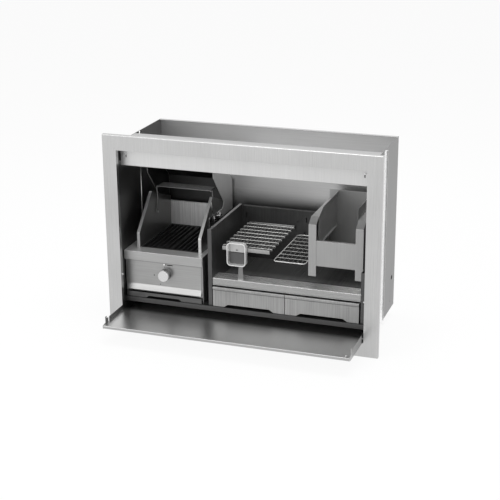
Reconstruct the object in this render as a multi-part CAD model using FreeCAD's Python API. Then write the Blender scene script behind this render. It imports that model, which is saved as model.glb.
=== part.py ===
import FreeCAD, Part
import os
from math import cos, pi, sin, tan

# Built-in barbecue grill: a sheet-steel cabinet that stands in a masonry recess behind a wide
# front frame, with a gas grill on the left and a charcoal hearth on the right.
# Millimetres. X to the right, Y to the back, Z up.
# The origin is the centre of the cabinet's underside. A depth is measured back from the front
# face of the frame, and a height is measured up from the cabinet's underside.

V = FreeCAD.Vector

# Front frame
frame_width = 1200.0
frame_height = 853.0
frame_side_border = 62.0
frame_top_border = 64.5
frame_bottom_border = 61.5
frame_sheet = 2.0
frame_return = 20.0
frame_bend = 2.5
sill_height = 15.0

# Cabinet
cabinet_setback = 52.0
cabinet_drop = 42.0
cabinet_depth = 504.0
wall = 1.5
bend = 1.0
header_depth = 218.0
header_flange = 18.0
header_step = 0.5
back_flange = 20.0
pan_upturn = 12.0
tie_depth = 264.0
tie_reach = 12.0
tie_leg = 24.0
tie_overhang = 5.0

# Service holes in the side walls
service_hole_radius = 11.0
service_hole_depth = 450.0
service_hole_height = 143.0
cable_hole_radius = 3.0
cable_hole_depth = 425.0
cable_hole_height = 41.0

# Draught strip that hangs under the header by two bolts in upright slots
strip_depth = 52.0
strip_reach = 77.0
strip_height = 81.0
strip_bolt_inset = 30.5
strip_bolt_radius = 2.0
strip_bolt_head = 2.0
strip_slot_foot = 35.0
strip_travel = 14.0
strip_slot_play = 0.4
strip_end_gap = 6.5
strip_bracket_front = 12.0
strip_bracket_arm = 46.0
strip_bracket_height = 64.0

# Fold-down shelf that closes the lower part of the opening
flap_gap = 4.0
flap_hinge_depth = 10.0
flap_hinge_height = 30.0
flap_reach = 218.0
flap_top = 5.0
flap_lip = 13.0
flap_cheek_low = 14.7
flap_cheek_high = 24.0
flap_cheek_reach = 192.0
flap_hook_height = 35.0
flap_hook_width = 12.0
flap_eye_radius = 9.0
flap_pin_radius = 4.0
flap_slot_length = 14.0
flap_slot_width = 4.0
flap_slot_inset = 18.0
jamb_pin_head = 2.0
jamb_pin_rim = 2.5
latch_reach = 160.0
latch_radius = 3.0
latch_length = 6.5
latch_plate_height = 37.0
latch_plate_depth = 15.0

# Hearth floor
floor_top = 76.0
floor_front = 45.0
floor_sill = 21.0
drawer_runner_height = 15.0
tray_runner_height = 10.5
runner_width = 14.0
slide_gap = 0.3
front_plane = 50.0

# Drawers
drawer_inset = 4.0
drawer_joint = 2.0
drawer_height = 88.0
drawer_length = 380.0
drawer_box_height = 65.0
drawer_side_gap = 5.0
drawer_lip_height = 15.0
drawer_lip_reach = 3.0
notch_width = 222.0
notch_top_width = 184.0
notch_height = 12.5
drawer_lift = 1.0

# Charcoal hearth
hearth_gas_gap = 44.0
hearth_wall_gap = 37.5
hearth_front = 55.0
hearth_back = 443.0
hearth_left_top = 418.0
hearth_right_top = 297.0
hearth_back_top = 412.0
hearth_flange = 18.0
hearth_right_flange = 16.0
hearth_rim = 12.0
ash_floor = 171.0
rail_depth = 60.0
rail_height = 30.0
rail_shelf = 77.0
upper_slot_near = 19.5
upper_slot_far = 301.0
upper_slot_low = 357.0
upper_slot_height = 24.0
slot_width = 5.0

# Flat sides of a wire's section, and short runs in place of each of its bends
wire_sides = 6
tube_sides = 8
bend_runs = 3

# Wire grids of the charcoal hearth
grid_wire = 2.0
grid_rod = 1.8
grid_edge_rod = 2.3
grid_left_inset = 36.0
grid_left_width = 210.0
grid_left_top = 340.0
grid_front = 86.0
grid_back_gap = 4.0
grid_bar_height = 17.0
grid_bar_thick = 3.0
grid_left_rods = 14
grid_left_loops = 8
grid_loop_end = 4.0
grid_loop_play = 0.4
grid_spacing = 17.0
grid_right_width = 142.0
grid_right_top = 303.0
grid_right_front = 76.0
grid_right_wire = 2.0
grid_right_thin = 1.4
grid_right_corner = 14.0
grid_right_rows = 8
grid_right_cells = 7
grid_hook_inset = 28.0
grid_hook_gap = 0.6
grid_slot_play = 1.6
grid_weld = 0.4
grid_wire_play = 0.05
grid_lift = 8.0
back_hole_inset = 260.6
back_hole_height = 359.0
back_hole_radius = 3.0

# Prop that holds the left grid up at the front
prop_inset = 29.0
prop_width = 83.0
prop_low = 264.0
prop_high = 365.0
prop_front = 60.0
prop_depth = 24.0
prop_strip = 3.0
prop_corner = 16.0
prop_plate_split = 317.0
prop_plate_gap = 3.0
prop_stem_shift = 57.5
prop_stem_width = 25.0
prop_stem_neck = 17.5
prop_sole = 16.0
prop_shelf = 12.0
prop_hole_shift = 38.5
prop_hole_height = 329.0
prop_hole_radius = 4.0

# Wood basket
basket_wall_gap = 4.0
basket_width = 233.0
basket_front = 100.0
basket_back = 412.0
basket_post = 33.0
basket_low = 244.0
basket_post_top = 468.0
basket_rim = 493.0
basket_setback = 38.0
basket_lip_rise = 37.0
basket_lip_lean = 10.0
basket_ledge = 373.0
basket_ledge_reach = 8.0
basket_panel_low = 289.0
basket_panel_top = 400.0
basket_back_top = 532.0
basket_grate_height = 300.0
basket_bars = 9
basket_bar_radius = 4.0
basket_hook_width = 26.0
basket_hook_inset = 20.0
basket_hook_drop = 14.0
basket_seam = 8.0
basket_hem = 12.0
basket_grate_front = 30.0
basket_grate_back = 20.0
basket_grate_rail = 10.0
basket_grate_rail_height = 12.0
perforation = 5.0
perforation_rise = 4.0
perforation_pitch = 26.0

# Gas grill
gas_wall_gap = 3.5
gas_width = 360.0
gas_back = 470.0
gas_top = 286.0
gas_skirt = 40.0
gas_skirt_lip = 8.0
gas_ledge_front = 112.0
gas_shelf_left = 52.0
gas_shelf_right = 36.0
gas_hole_back = 461.0
gas_floor = 103.0
gas_drain = 60.0
casing_flange = 20.0
casing_jamb = 4.0
panel_depth = 60.0
panel_inset = 8.0
panel_overlap = 14.0
panel_bevel_top = 135.0
panel_low = 108.0
panel_bevel_reach = 9.0
tray_top = 100.0
tray_inset = 5.0
tray_length = 390.0
tray_notch_width = 166.0
tray_notch_top_width = 140.0
tray_notch_height = 9.0

# Controls
knob_inset = 190.0
knob_height = 193.0
knob_radius = 24.5
knob_base_radius = 21.0
knob_front = 24.0
knob_base = 8.0
knob_disc = 14.0
knob_waist = 17.0
knob_chamfer = 1.5
stem_radius = 4.0
running_gap = 0.05
bezel_rim = 5.0
bezel_thick = 2.0
valve_width = 36.0
valve_nozzle = 14.0
igniter_shift = 5.6
igniter_height = 237.0
igniter_radius = 4.0
igniter_stand = 7.0
igniter_travel = 4.0
igniter_rim = 3.0
igniter_body = 34.0
igniter_shoulder = 5.0
igniter_tail = 6.0
vent_shift = 5.0
vent_width = 26.0
vent_height = 234.0
vent_gap = 4.0

# Burner
burner_radius = 10.0
burner_height = 170.0
burner_half_width = 72.0
burner_front = 160.0
burner_back = 400.0
inlet_radius = 8.0
inlet_height = 140.0
inlet_inset = 22.0
inlet_setback = 16.0
inlet_reach = 38.0
inlet_union_radius = 10.5
inlet_union_length = 18.0
tamer_half_width = 105.0
tamer_height = 215.0
tamer_rise = 34.0
burner_foot = 12.0
burner_neck = 25.0
burner_bend = 52.0
burner_mouth = 16.0
tamer_front = 10.0
tamer_back = 30.0

# Cast grates
grate_front = 118.0
grate_back = 458.0
grate_thick = 14.0
grate_rim = 8.0
grate_ribs = 6
grate_rib_base = 7.0
grate_rib_top = 4.5
grate_side_gap = 1.5
grate_rest = 14.0

# Wing plates beside the gas grill and the splash plate behind it
wing_thick = 13.0
wing_front = 105.0
wing_knee = 352.0
wing_peak_depth = 250.0
wing_peak = 498.0
wing_rear_depth = 415.0
wing_rear = 434.0
wing_end_depth = 460.0
wing_end = 421.0
wing_corner = 6.0
splash_top = 401.0
splash_rim = 10.0

# Hood, with the shape that it has when it is shut, and its hinge
hood_side_gap = 5.0
hood_sheet = 1.5
hood_hinge_depth = 331.0
hood_hinge_height = 395.0
hood_front = 95.0
hood_low = 288.0
hood_knee = 431.0
hood_top = 550.6
hood_top_front = 214.6
hood_back = 346.0
hood_lip = 10.0
hood_neck_depth = 304.0
hood_neck = 426.0
hood_crest_depth = 287.0
hood_crest = 433.5
hood_crest_width = 15.0
hood_toe_depth = 145.0
hood_toe = 313.0
hood_toe_width = 24.0
hood_toe_drop = 3.0
hood_ear = 17.0
hood_pin_radius = 5.0
hood_pin_head = 8.5
hood_bracket = 1.5
bracket_front = 204.0
bracket_low = 370.0
bracket_high = 415.0

# Warming rack on two swinging links
link_depth = 293.0
link_height = 393.0
link_length = 118.0
link_wire = 2.5
link_pin_radius = 3.0
link_eye = 6.0
link_eye_width = 6.0
link_gap = 2.0
link_pin_length = 9.0
link_pin_head = 1.5
link_pin_rim = 2.0
link_sway = 7.0
link_elbow = 0.6
link_bend = 12.0
rack_width_inset = 11.0
rack_reach = 60.0
rack_wire = 2.5
rack_corner = 10.0
rack_rods = 9
rack_eye = 5.5
rack_eye_width = 4.0

# Sizes that follow from the ones above
front = -cabinet_depth / 2
frame_low = sill_height - frame_bottom_border
frame_high = frame_low + frame_height
opening_half = frame_width / 2 - frame_side_border
opening_high = frame_high - frame_top_border
cabinet_width = frame_width - 2 * cabinet_setback
cabinet_height = frame_high - cabinet_drop
inner_half = cabinet_width / 2 - wall
flap_half = opening_half - flap_gap
header_top = cabinet_height - header_step
strip_low = opening_high - strip_reach
strip_slot_low = strip_low + strip_slot_foot
strip_bolt_x = inner_half - strip_bolt_inset
drawer_low = floor_top + drawer_lift
drawer_top = drawer_low + drawer_height
gas_left = gas_wall_gap - inner_half
gas_right = gas_left + gas_width
gas_hole_left = gas_left + gas_shelf_left
gas_hole_right = gas_right - gas_shelf_right
gas_middle = (gas_hole_left + gas_hole_right) / 2
knob_x = gas_left + knob_inset
igniter_x = knob_x - igniter_shift
vent_left = knob_x + vent_shift
vent_right = vent_left + vent_width
hood_left = gas_hole_left - wing_thick - hood_side_gap
hood_right = gas_hole_right + wing_thick + hood_side_gap
hearth_left = gas_right + hearth_gas_gap
hearth_right = inner_half - hearth_wall_gap
drawer_divide = (hearth_left + hearth_right) / 2
grid_left_low_x = hearth_left + grid_left_inset
grid_left_high_x = grid_left_low_x + grid_left_width
grid_right_low_x = grid_left_high_x + grid_spacing
grid_right_high_x = grid_right_low_x + grid_right_width
prop_left = grid_left_low_x + prop_inset
prop_right = prop_left + prop_width
prop_stem_x = prop_left + prop_stem_shift
prop_hole_x = prop_left + prop_hole_shift
basket_right = hearth_right - basket_wall_gap
basket_left = basket_right - basket_width


def at(depth):
    """Y of a plane that lies this far behind the frame's front face."""
    return front + depth


def block(x_low, x_high, y_low, y_high, z_low, z_high):
    """Box between its low and high planes."""
    return Part.makeBox(x_high - x_low, y_high - y_low, z_high - z_low, V(x_low, y_low, z_low))


def fused(solids):
    """One solid made of solids that touch or cross."""
    return solids[0].multiFuse(solids[1:]).removeSplitter()


def mirrored(solid, middle=0.0):
    """Copy on the other side of an upright plane across X."""
    return solid.mirror(V(middle, 0, 0), V(1, 0, 0))


def pair(solid, middle=0.0):
    """A piece and its mirror copy, as two separate solids."""
    return Part.makeCompound([solid, mirrored(solid, middle)])


def rounded_edges(corners, closed):
    """Edges through corners, given as point and radius, with an arc at each corner that has one."""
    trims = []
    count = len(corners)
    for index, (corner, radius) in enumerate(corners):
        end = not closed and index in (0, count - 1)
        if radius == 0 or end:
            trims.append((corner, None, corner))
            continue
        back = (corners[index - 1][0] - corner).normalize()
        ahead = (corners[(index + 1) % count][0] - corner).normalize()
        half = back.getAngle(ahead) / 2
        inward = (back + ahead).normalize()
        middle = corner + inward * (radius / sin(half) - radius)
        reach = radius / tan(half)
        trims.append((corner + back * reach, middle, corner + ahead * reach))
    edges = []
    for index, (first, middle, last) in enumerate(trims):
        if middle is not None:
            edges.append(Part.Arc(first, middle, last).toShape())
        if index < count - 1 or closed:
            following = trims[(index + 1) % count][0]
            if last.distanceToPoint(following) > 1e-6:
                edges.append(Part.makeLine(last, following))
    return edges


def outline_face(corners):
    """Flat face inside corners that are given as point and radius."""
    return Part.Face(Part.Wire(rounded_edges(corners, True)))


def plate_x(points, x_low, x_high, radius=0.0):
    """Plate across X whose outline is (depth, height) points."""
    corners = [(V(x_low, at(depth), height), radius) for depth, height in points]
    return outline_face(corners).extrude(V(x_high - x_low, 0, 0))


def plate_y(points, depth_low, depth_high, radius=0.0):
    """Plate across Y whose outline is (x, height) points."""
    corners = [(V(x, at(depth_low), height), radius) for x, height in points]
    return outline_face(corners).extrude(V(0, depth_high - depth_low, 0))


def strip_face(points, normal, thick, inner_bend):
    """Section of a folded sheet that lies to the left of a path seen against its normal."""
    count = len(points)
    sides = []
    for index in range(count - 1):
        sides.append(normal.cross((points[index + 1] - points[index]).normalize()))
    path = []
    offset = []
    for index, point in enumerate(points):
        before = sides[max(index - 1, 0)]
        after = sides[min(index, count - 2)]
        shift = (before + after) * (thick / (1 + before.dot(after)))
        turn = before.cross(after).dot(normal)
        near = inner_bend
        far = inner_bend
        if turn > 0:
            near += thick
        else:
            far += thick
        if index in (0, count - 1):
            near = 0
            far = 0
        path.append((point, near))
        offset.append((point + shift, far))
    return outline_face(path + offset[::-1])


def folded_x(points, x_low, x_high, thick=wall):
    """Sheet folded along X: a path of (depth, height) points, with its metal on the left."""
    path = [V(x_low, at(depth), height) for depth, height in points]
    return strip_face(path, V(1, 0, 0), thick, bend).extrude(V(x_high - x_low, 0, 0))


def folded_y(points, depth_low, depth_high, thick=wall):
    """Sheet folded along Y: a path of (x, height) points, with its metal on the right."""
    path = [V(x, at(depth_low), height) for x, height in points]
    return strip_face(path, V(0, 1, 0), thick, bend).extrude(V(0, depth_high - depth_low, 0))


def folded_z(points, z_low, z_high, thick=wall):
    """Sheet folded along Z: a path of (x, depth) points, with its metal on the left."""
    path = [V(x, at(depth), z_low) for x, depth in points]
    return strip_face(path, V(0, 0, 1), thick, bend).extrude(V(0, 0, z_high - z_low))


def rod(start, end, radius):
    """Round bar between two points."""
    run = end - start
    return Part.makeCylinder(radius, run.Length, start, run)


def wire_section(centre, run, radius, sides):
    """Outline of a wire across its run, with a flat on top and below."""
    along = V(run.x, run.y, run.z).normalize()
    up = V(0, 0, 1)
    if abs(along.z) > 0.9:
        up = V(0, 1, 0)
    across = along.cross(up).normalize()
    up = across.cross(along)
    reach = radius / cos(pi / sides)
    points = []
    for index in range(sides):
        turn = pi / 2 + pi / sides * (2 * index + 1)
        points.append(centre + across * (reach * cos(turn)) + up * (reach * sin(turn)))
    return Part.makePolygon(points + points[:1])


def wire(start, end, radius, sides=wire_sides):
    """Straight wire between two points."""
    return Part.Face(wire_section(start, end - start, radius, sides)).extrude(end - start)


def bent_wire(points, radius, inner_bend, sides=wire_sides):
    """Wire along a path, with each corner eased by short straight runs."""
    path = points[:1]
    for edge in rounded_edges([(point, inner_bend) for point in points], False):
        runs = bend_runs
        if edge.Curve.TypeId == "Part::GeomLine":
            runs = 1
        first, last = edge.ParameterRange
        for index in range(1, runs + 1):
            path.append(edge.valueAt(first + (last - first) * index / runs))
    section = wire_section(path[0], path[1] - path[0], radius, sides)
    return Part.makePolygon(path).makePipeShell([section], True, False, 1)


def wire_loop(first, last, radius, corner, sides=wire_sides):
    """Closed loop of wire, flat or upright, between two opposite corners, which are rounded."""
    middle = (first.x + last.x) / 2
    points = [
        V(middle, first.y, first.z), V(last.x, first.y, first.z), last, V(middle, last.y, last.z),
    ]
    half = bent_wire(points, radius, corner, sides)
    return fused([half, mirrored(half, middle)])


def tube(start, end, outer, inner):
    """Round tube or ring between two points."""
    return rod(start, end, outer).cut(rod(start, end, inner))


def turned(outline, x, depth, height):
    """Solid of revolution about a line along Y: outline of (radius, depth) points."""
    points = [V(x + radius, at(back), height) for radius, back in outline]
    face = Part.Face(Part.makePolygon(points + points[:1]))
    return face.revolve(V(x, at(depth), height), V(0, 1, 0), 360)


def upright_slot(x, depth_low, depth_high, z_low, z_high, width):
    """Cutter for an upright slot with round ends through a sheet across Y."""
    radius = width / 2
    middle = block(x - radius, x + radius, at(depth_low), at(depth_high), z_low + radius, z_high - radius)
    ends = [
        rod(V(x, at(depth_low), z), V(x, at(depth_high), z), radius)
        for z in (z_low + radius, z_high - radius)
    ]
    return fused([middle] + ends)


def trapezoid_notch(x, low, bottom_width, top_width, height, depth_low, depth_high):
    """Cutter for a finger notch in a front's lower edge."""
    points = [
        (x - bottom_width / 2, low),
        (x + bottom_width / 2, low),
        (x + top_width / 2, low + height),
        (x - top_width / 2, low + height),
    ]
    return plate_y(points, depth_low, depth_high)


def front_frame():
    """Border round the opening, folded back at its outer and inner edges."""
    half = frame_width / 2
    face = block(-half, half, at(0), at(frame_return), frame_low, frame_high)
    front_edges = [
        edge for edge in face.Edges
        if edge.BoundBox.YMax < at(frame_sheet)
    ]
    face = face.makeFillet(frame_bend, front_edges)
    inset = half - frame_sheet
    hollow = block(
        -inset, inset, at(frame_sheet), at(frame_return + 1),
        frame_low + frame_sheet, frame_high - frame_sheet,
    )
    outer = opening_half + frame_sheet
    collar = block(
        -outer, outer, at(0), at(frame_return),
        sill_height - frame_sheet, opening_high + frame_sheet,
    )
    opening = block(-opening_half, opening_half, at(-1), at(frame_return + 1), sill_height, opening_high)
    frame = fused([face.cut(hollow), collar]).cut(opening)
    for side in (-1, 1):
        for height, radius in ((flap_hinge_height, flap_pin_radius), (latch_height(), latch_radius)):
            start = V(side * (opening_half - 1), at(flap_hinge_depth), height)
            end = V(side * (outer + 1), at(flap_hinge_depth), height)
            frame = frame.cut(rod(start, end, radius + running_gap))
    return frame


def latch_height():
    """Height of the latch pins, which the shut shelf's cheeks drop over."""
    return flap_hinge_height + latch_reach


def side_wall(side):
    """Left or right wall of the cabinet, with its service holes."""
    outer = side * cabinet_width / 2
    inner = side * inner_half
    low, high = sorted((outer, inner))
    panel = block(low, high, at(frame_sheet), at(cabinet_depth), 0, cabinet_height)
    holes = (
        (service_hole_depth, service_hole_height, service_hole_radius),
        (cable_hole_depth, cable_hole_height, cable_hole_radius),
    )
    if side > 0:
        for depth, height, radius in holes:
            panel = panel.cut(rod(V(low - 1, at(depth), height), V(high + 1, at(depth), height), radius))
    return panel


def back_wall():
    """Back of the cabinet, with its top edge folded in."""
    back = cabinet_depth
    path = [(back, 0), (back, cabinet_height), (back - back_flange, cabinet_height)]
    return folded_x(path, -inner_half, inner_half)


def base_pan():
    """Bottom of the cabinet, with its front edge turned up behind the frame."""
    path = [
        (frame_return + 1, pan_upturn),
        (frame_return + 1, 0),
        (cabinet_depth - wall, 0),
    ]
    pan = folded_x(path, -inner_half, inner_half)
    tongue = block(-inner_half, inner_half, at(frame_sheet), at(frame_return + 1 + wall), 0, wall)
    return fused([pan, tongue])


def header():
    """Roof strip behind the top of the frame."""
    path = [
        (frame_sheet, header_top + header_flange),
        (frame_sheet, header_top - wall),
        (header_depth, header_top - wall),
        (header_depth, header_top - header_flange),
    ]
    return folded_x(path, -inner_half, inner_half)


def wall_tie():
    """Upright angle on the outside of the left wall that ties the cabinet to the masonry."""
    outer = cabinet_width / 2
    path = [
        (outer, tie_depth - tie_leg),
        (outer, tie_depth),
        (outer + tie_reach, tie_depth),
    ]
    return mirrored(folded_z(path[::-1], -tie_overhang, cabinet_height - 1))


def bolt_height():
    """Height of the draught strip's bolts, at the top of its slots."""
    return slot_high() - strip_bolt_radius - strip_slot_play


def slot_high():
    """Upper end of the draught strip's slots, which are as long as its travel asks."""
    return strip_slot_low + strip_travel + 2 * strip_bolt_radius + 3 * strip_slot_play


def draught_strip():
    """Strip behind the top of the frame that hangs in front of the fire."""
    half = inner_half - strip_end_gap
    path = [
        (strip_depth + 12, strip_low),
        (strip_depth, strip_low),
        (strip_depth, strip_low + strip_height),
    ]
    strip = folded_x(path[::-1], -half, half)
    width = 2 * (strip_bolt_radius + strip_slot_play)
    for side in (-1, 1):
        slot = upright_slot(
            side * strip_bolt_x, strip_depth - 1, strip_depth + wall + 1,
            strip_slot_low, slot_high(), width,
        )
        strip = strip.cut(slot)
    return strip


def strip_bracket():
    """Angle on the left wall that carries one end of the draught strip."""
    depth = strip_depth + wall + slide_gap
    low = bolt_height() - strip_bracket_height / 2
    high = low + strip_bracket_height
    leg = block(
        inner_half - wall, inner_half, at(strip_bracket_front), at(depth + wall),
        low, high,
    )
    arm = block(inner_half - strip_bracket_arm, inner_half, at(depth), at(depth + wall), low, high)
    hole = rod(
        V(strip_bolt_x, at(depth - 1), bolt_height()),
        V(strip_bolt_x, at(depth + wall + 1), bolt_height()),
        strip_bolt_radius + running_gap,
    )
    return mirrored(fused([leg, arm]).cut(hole))


def strip_bolt():
    """Left bolt of the draught strip."""
    head = strip_depth - slide_gap
    outline = [
        (0, head - strip_bolt_head),
        (2.2 * strip_bolt_radius, head - strip_bolt_head),
        (2.2 * strip_bolt_radius, head),
        (strip_bolt_radius, head),
        (strip_bolt_radius, strip_depth + 3 * wall + 4),
        (0, strip_depth + 3 * wall + 4),
    ]
    return turned(outline, -strip_bolt_x, head, bolt_height())


def flap_point(reach, rise):
    """Depth and height of a point of the open shelf, measured from its hinge."""
    return (flap_hinge_depth - reach, flap_hinge_height + rise)


def flap_shelf():
    """Leaf of the fold-down shelf, with its front edge turned down."""
    path = [
        flap_point(-flap_eye_radius + 2, flap_top - 8),
        flap_point(-flap_eye_radius + 2, flap_top),
        flap_point(flap_reach, flap_top),
        flap_point(flap_reach, flap_top - flap_lip),
        flap_point(flap_reach - 8, flap_top - flap_lip),
    ]
    half = flap_half - wall
    leaf = folded_x(path, -half, half)
    for side in (-1, 1):
        x = side * (half - flap_slot_inset)
        depth, height = flap_point(flap_reach - 14, flap_top)
        slot = block(
            x - flap_slot_width / 2, x + flap_slot_width / 2,
            at(depth), at(depth + flap_slot_length), height - wall - 1, height + 1,
        )
        leaf = leaf.cut(slot)
    return leaf


def flap_cheek():
    """Left side plate of the shelf, with a hinge eye, a latch notch and a hook in front."""
    outline = [
        flap_point(flap_eye_radius, -flap_cheek_low),
        flap_point(flap_cheek_reach, -flap_cheek_low),
        flap_point(flap_reach, flap_top - flap_lip),
        flap_point(flap_reach, flap_top),
        flap_point(flap_cheek_reach, flap_top + 4),
        flap_point(flap_cheek_reach, flap_hook_height),
        flap_point(flap_cheek_reach - flap_hook_width, flap_hook_height),
        flap_point(flap_cheek_reach - flap_hook_width, flap_cheek_high),
        flap_point(-flap_eye_radius, flap_cheek_high),
        flap_point(-flap_eye_radius, 0),
    ]
    low = flap_half - wall
    high = flap_half
    cheek = plate_x(outline, low, high)
    hinge = V(low - 1, at(flap_hinge_depth), flap_hinge_height)
    cheek = cheek.fuse(rod(V(low, hinge.y, hinge.z), V(high, hinge.y, hinge.z), flap_eye_radius))
    cheek = cheek.cut(rod(hinge, V(high + 1, hinge.y, hinge.z), flap_pin_radius + running_gap))
    depth, height = flap_point(latch_reach, 0)
    width = latch_radius + 1.5
    notch_top = height + flap_cheek_high + 1
    notch = block(low - 1, high + 1, at(depth - width), at(depth + width), height, notch_top)
    root = rod(V(low - 1, at(depth), height), V(high + 1, at(depth), height), width)
    return mirrored(cheek.cut(fused([notch, root])).removeSplitter())


def jamb_pin(radius, inner_x, height):
    """Pin through the left jamb, with its head behind the jamb."""
    face = opening_half + frame_sheet
    y = at(flap_hinge_depth)
    shank = rod(V(-inner_x, y, height), V(-face - jamb_pin_head, y, height), radius)
    head = rod(V(-face, y, height), V(-face - jamb_pin_head, y, height), radius + jamb_pin_rim)
    return fused([shank, head])


def flap_hinge_pin():
    """Left hinge pin of the shelf."""
    return jamb_pin(flap_pin_radius, flap_half - wall, flap_hinge_height)


def latch_pin():
    """Pin on the left jamb that holds the shut shelf."""
    return jamb_pin(latch_radius, opening_half - latch_length, latch_height())


def latch_plate():
    """Small slotted guide plate inside the left jamb, under the latch pin."""
    top = latch_height() - 7
    inner = opening_half
    outer = opening_half + frame_sheet
    plate = block(
        inner, outer, at(frame_return), at(frame_return + latch_plate_depth),
        top - latch_plate_height, top,
    )
    foot = block(outer, inner_half, at(frame_return), at(frame_return + frame_sheet),
                 top - latch_plate_height, top)
    slot = block(
        inner - 1, outer + 1, at(frame_return + 5), at(frame_return + 10),
        top - latch_plate_height + 8, top - 8,
    )
    return mirrored(fused([plate, foot]).cut(slot))


def hearth_floor():
    """Raised floor on side legs that stand on the base pan."""
    legs = [
        (-inner_half, wall),
        (-inner_half, floor_top),
        (inner_half, floor_top),
        (inner_half, wall),
    ]
    back = cabinet_depth - 2 * wall
    tray = folded_y(legs, floor_front, back)
    sill = block(
        -inner_half + 2 * wall, inner_half - 2 * wall, at(floor_front), at(floor_front + wall),
        floor_top - floor_sill, floor_top - wall,
    )
    return fused([tray, sill])


def runner_pair(x_low, x_high, length, height):
    """Two rails on the floor, under the sides of a drawer or tray."""
    rails = []
    for x in (x_low, x_high - runner_width):
        rails.append(block(
            x, x + runner_width, at(front_plane + 12), at(front_plane + length),
            floor_top, floor_top + height,
        ))
    return rails


def drawer_span(side):
    """Low and high X of a drawer front."""
    if side < 0:
        return (hearth_left + drawer_inset, drawer_divide - drawer_joint / 2)
    return (drawer_divide + drawer_joint / 2, hearth_right - drawer_inset)


def drawer_front(side):
    """Front of a drawer, with a rolled lip on top and a finger notch below."""
    low_x, high_x = drawer_span(side)
    lip_low = drawer_top - drawer_lip_height
    path = [
        (front_plane, drawer_low),
        (front_plane, lip_low),
        (front_plane - drawer_lip_reach, lip_low + drawer_lip_reach),
        (front_plane - drawer_lip_reach, drawer_top),
        (front_plane + 10, drawer_top),
        (front_plane + 10, drawer_top - 8),
    ]
    panel = folded_x(path[::-1], low_x, high_x)
    middle = (low_x + high_x) / 2
    notch = trapezoid_notch(
        middle, drawer_low, notch_width, notch_top_width, notch_height,
        front_plane - 1, front_plane + wall + 1,
    )
    return panel.cut(notch)


def open_box(x_low, x_high, depth_low, depth_high, z_low, z_high):
    """Open-topped sheet box with rounded upright corners."""
    corner = 6.0
    y_low = at(depth_low)
    y_high = at(depth_high)
    shells = []
    for inset in (0, wall):
        plan = [
            V(x_low + inset, y_low + inset, z_low + inset),
            V(x_high - inset, y_low + inset, z_low + inset),
            V(x_high - inset, y_high - inset, z_low + inset),
            V(x_low + inset, y_high - inset, z_low + inset),
        ]
        face = outline_face([(point, corner - inset) for point in plan])
        shells.append(face.extrude(V(0, 0, z_high - z_low)))
    return shells[0].cut(shells[1])


def drawer_box(side):
    """Box of a drawer, behind its front."""
    low_x, high_x = drawer_span(side)
    low = floor_top + drawer_runner_height + slide_gap
    return open_box(
        low_x + drawer_side_gap, high_x - drawer_side_gap, front_plane + wall,
        front_plane + drawer_length, low, low + drawer_box_height,
    )


def runners():
    """Rails under both drawers and under the drip tray."""
    rails = runner_pair(
        gas_left + 4 * tray_inset, gas_right - 4 * tray_inset, tray_length, tray_runner_height,
    )
    for side in (-1, 1):
        low_x, high_x = drawer_span(side)
        rails += runner_pair(
            low_x + 2 * drawer_side_gap, high_x - 2 * drawer_side_gap, drawer_length,
            drawer_runner_height,
        )
    return Part.makeCompound(rails)


def hearth_left_plate():
    """Left wall of the charcoal hearth, with a front flange and a rolled top."""
    path = [
        (hearth_left - hearth_flange, hearth_front),
        (hearth_left, hearth_front),
        (hearth_left, hearth_back),
    ]
    plate = folded_z(path, floor_top, hearth_left_top)
    rim = block(
        hearth_left - hearth_rim, hearth_left, at(hearth_front + wall), at(hearth_back),
        hearth_left_top - wall, hearth_left_top,
    )
    return fused([plate, rim])


def hearth_right_plate():
    """Right wall of the charcoal hearth, lower than the left one."""
    path = [
        (hearth_right, hearth_back),
        (hearth_right, hearth_front),
        (hearth_right + hearth_right_flange, hearth_front),
    ]
    return folded_z(path, floor_top, hearth_right_top)


def hearth_back_plate():
    """Back of the charcoal hearth, with hook slots for the grids."""
    path = [
        (hearth_back, floor_top),
        (hearth_back, hearth_back_top),
        (hearth_back + hearth_rim, hearth_back_top),
    ]
    plate = folded_x(path[::-1], hearth_left - hearth_flange, hearth_right + hearth_right_flange)
    cutters = []
    for x in (hearth_left + upper_slot_near, hearth_left + upper_slot_far):
        cutters.append(upright_slot(
            x, hearth_back - 2, hearth_back + wall + 1,
            upper_slot_low, upper_slot_low + upper_slot_height, slot_width,
        ))
    for x, height, radius in grid_hooks():
        half = radius + grid_slot_play / 2
        cutters.append(block(
            x - half, x + half, at(hearth_back - 2), at(hearth_back + wall + 1),
            height - half, height + radius + grid_lift + grid_slot_play,
        ))
    cutters.append(rod(
        V(hearth_left + back_hole_inset, at(hearth_back - 1), back_hole_height),
        V(hearth_left + back_hole_inset, at(hearth_back + wall + 1), back_hole_height),
        back_hole_radius,
    ))
    return plate.cut(cutters)


def ash_floor_plate():
    """Floor of the charcoal hearth."""
    return block(
        hearth_left, hearth_right, at(rail_depth), at(hearth_back),
        ash_floor - wall, ash_floor,
    )


def front_rail():
    """Folded rail in front of the charcoal, with a wide top shelf."""
    top = ash_floor + rail_height
    path = [
        (rail_depth + 8, ash_floor),
        (rail_depth, ash_floor),
        (rail_depth, top),
        (rail_depth + rail_shelf, top),
        (rail_depth + rail_shelf, top - 12),
    ]
    return folded_x(path[::-1], hearth_left, hearth_right)


def grid_hooks():
    """X, height and wire radius of each rear hook of the two grids."""
    hooks = []
    for x in (grid_left_low_x + grid_hook_inset, grid_left_high_x - grid_hook_inset):
        hooks.append((x, grid_left_top - grid_bar_height / 2, grid_wire))
    for x in (grid_right_low_x + grid_hook_inset, grid_right_high_x - grid_hook_inset):
        hooks.append((x, grid_right_rim(), grid_right_wire))
    return hooks


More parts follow.
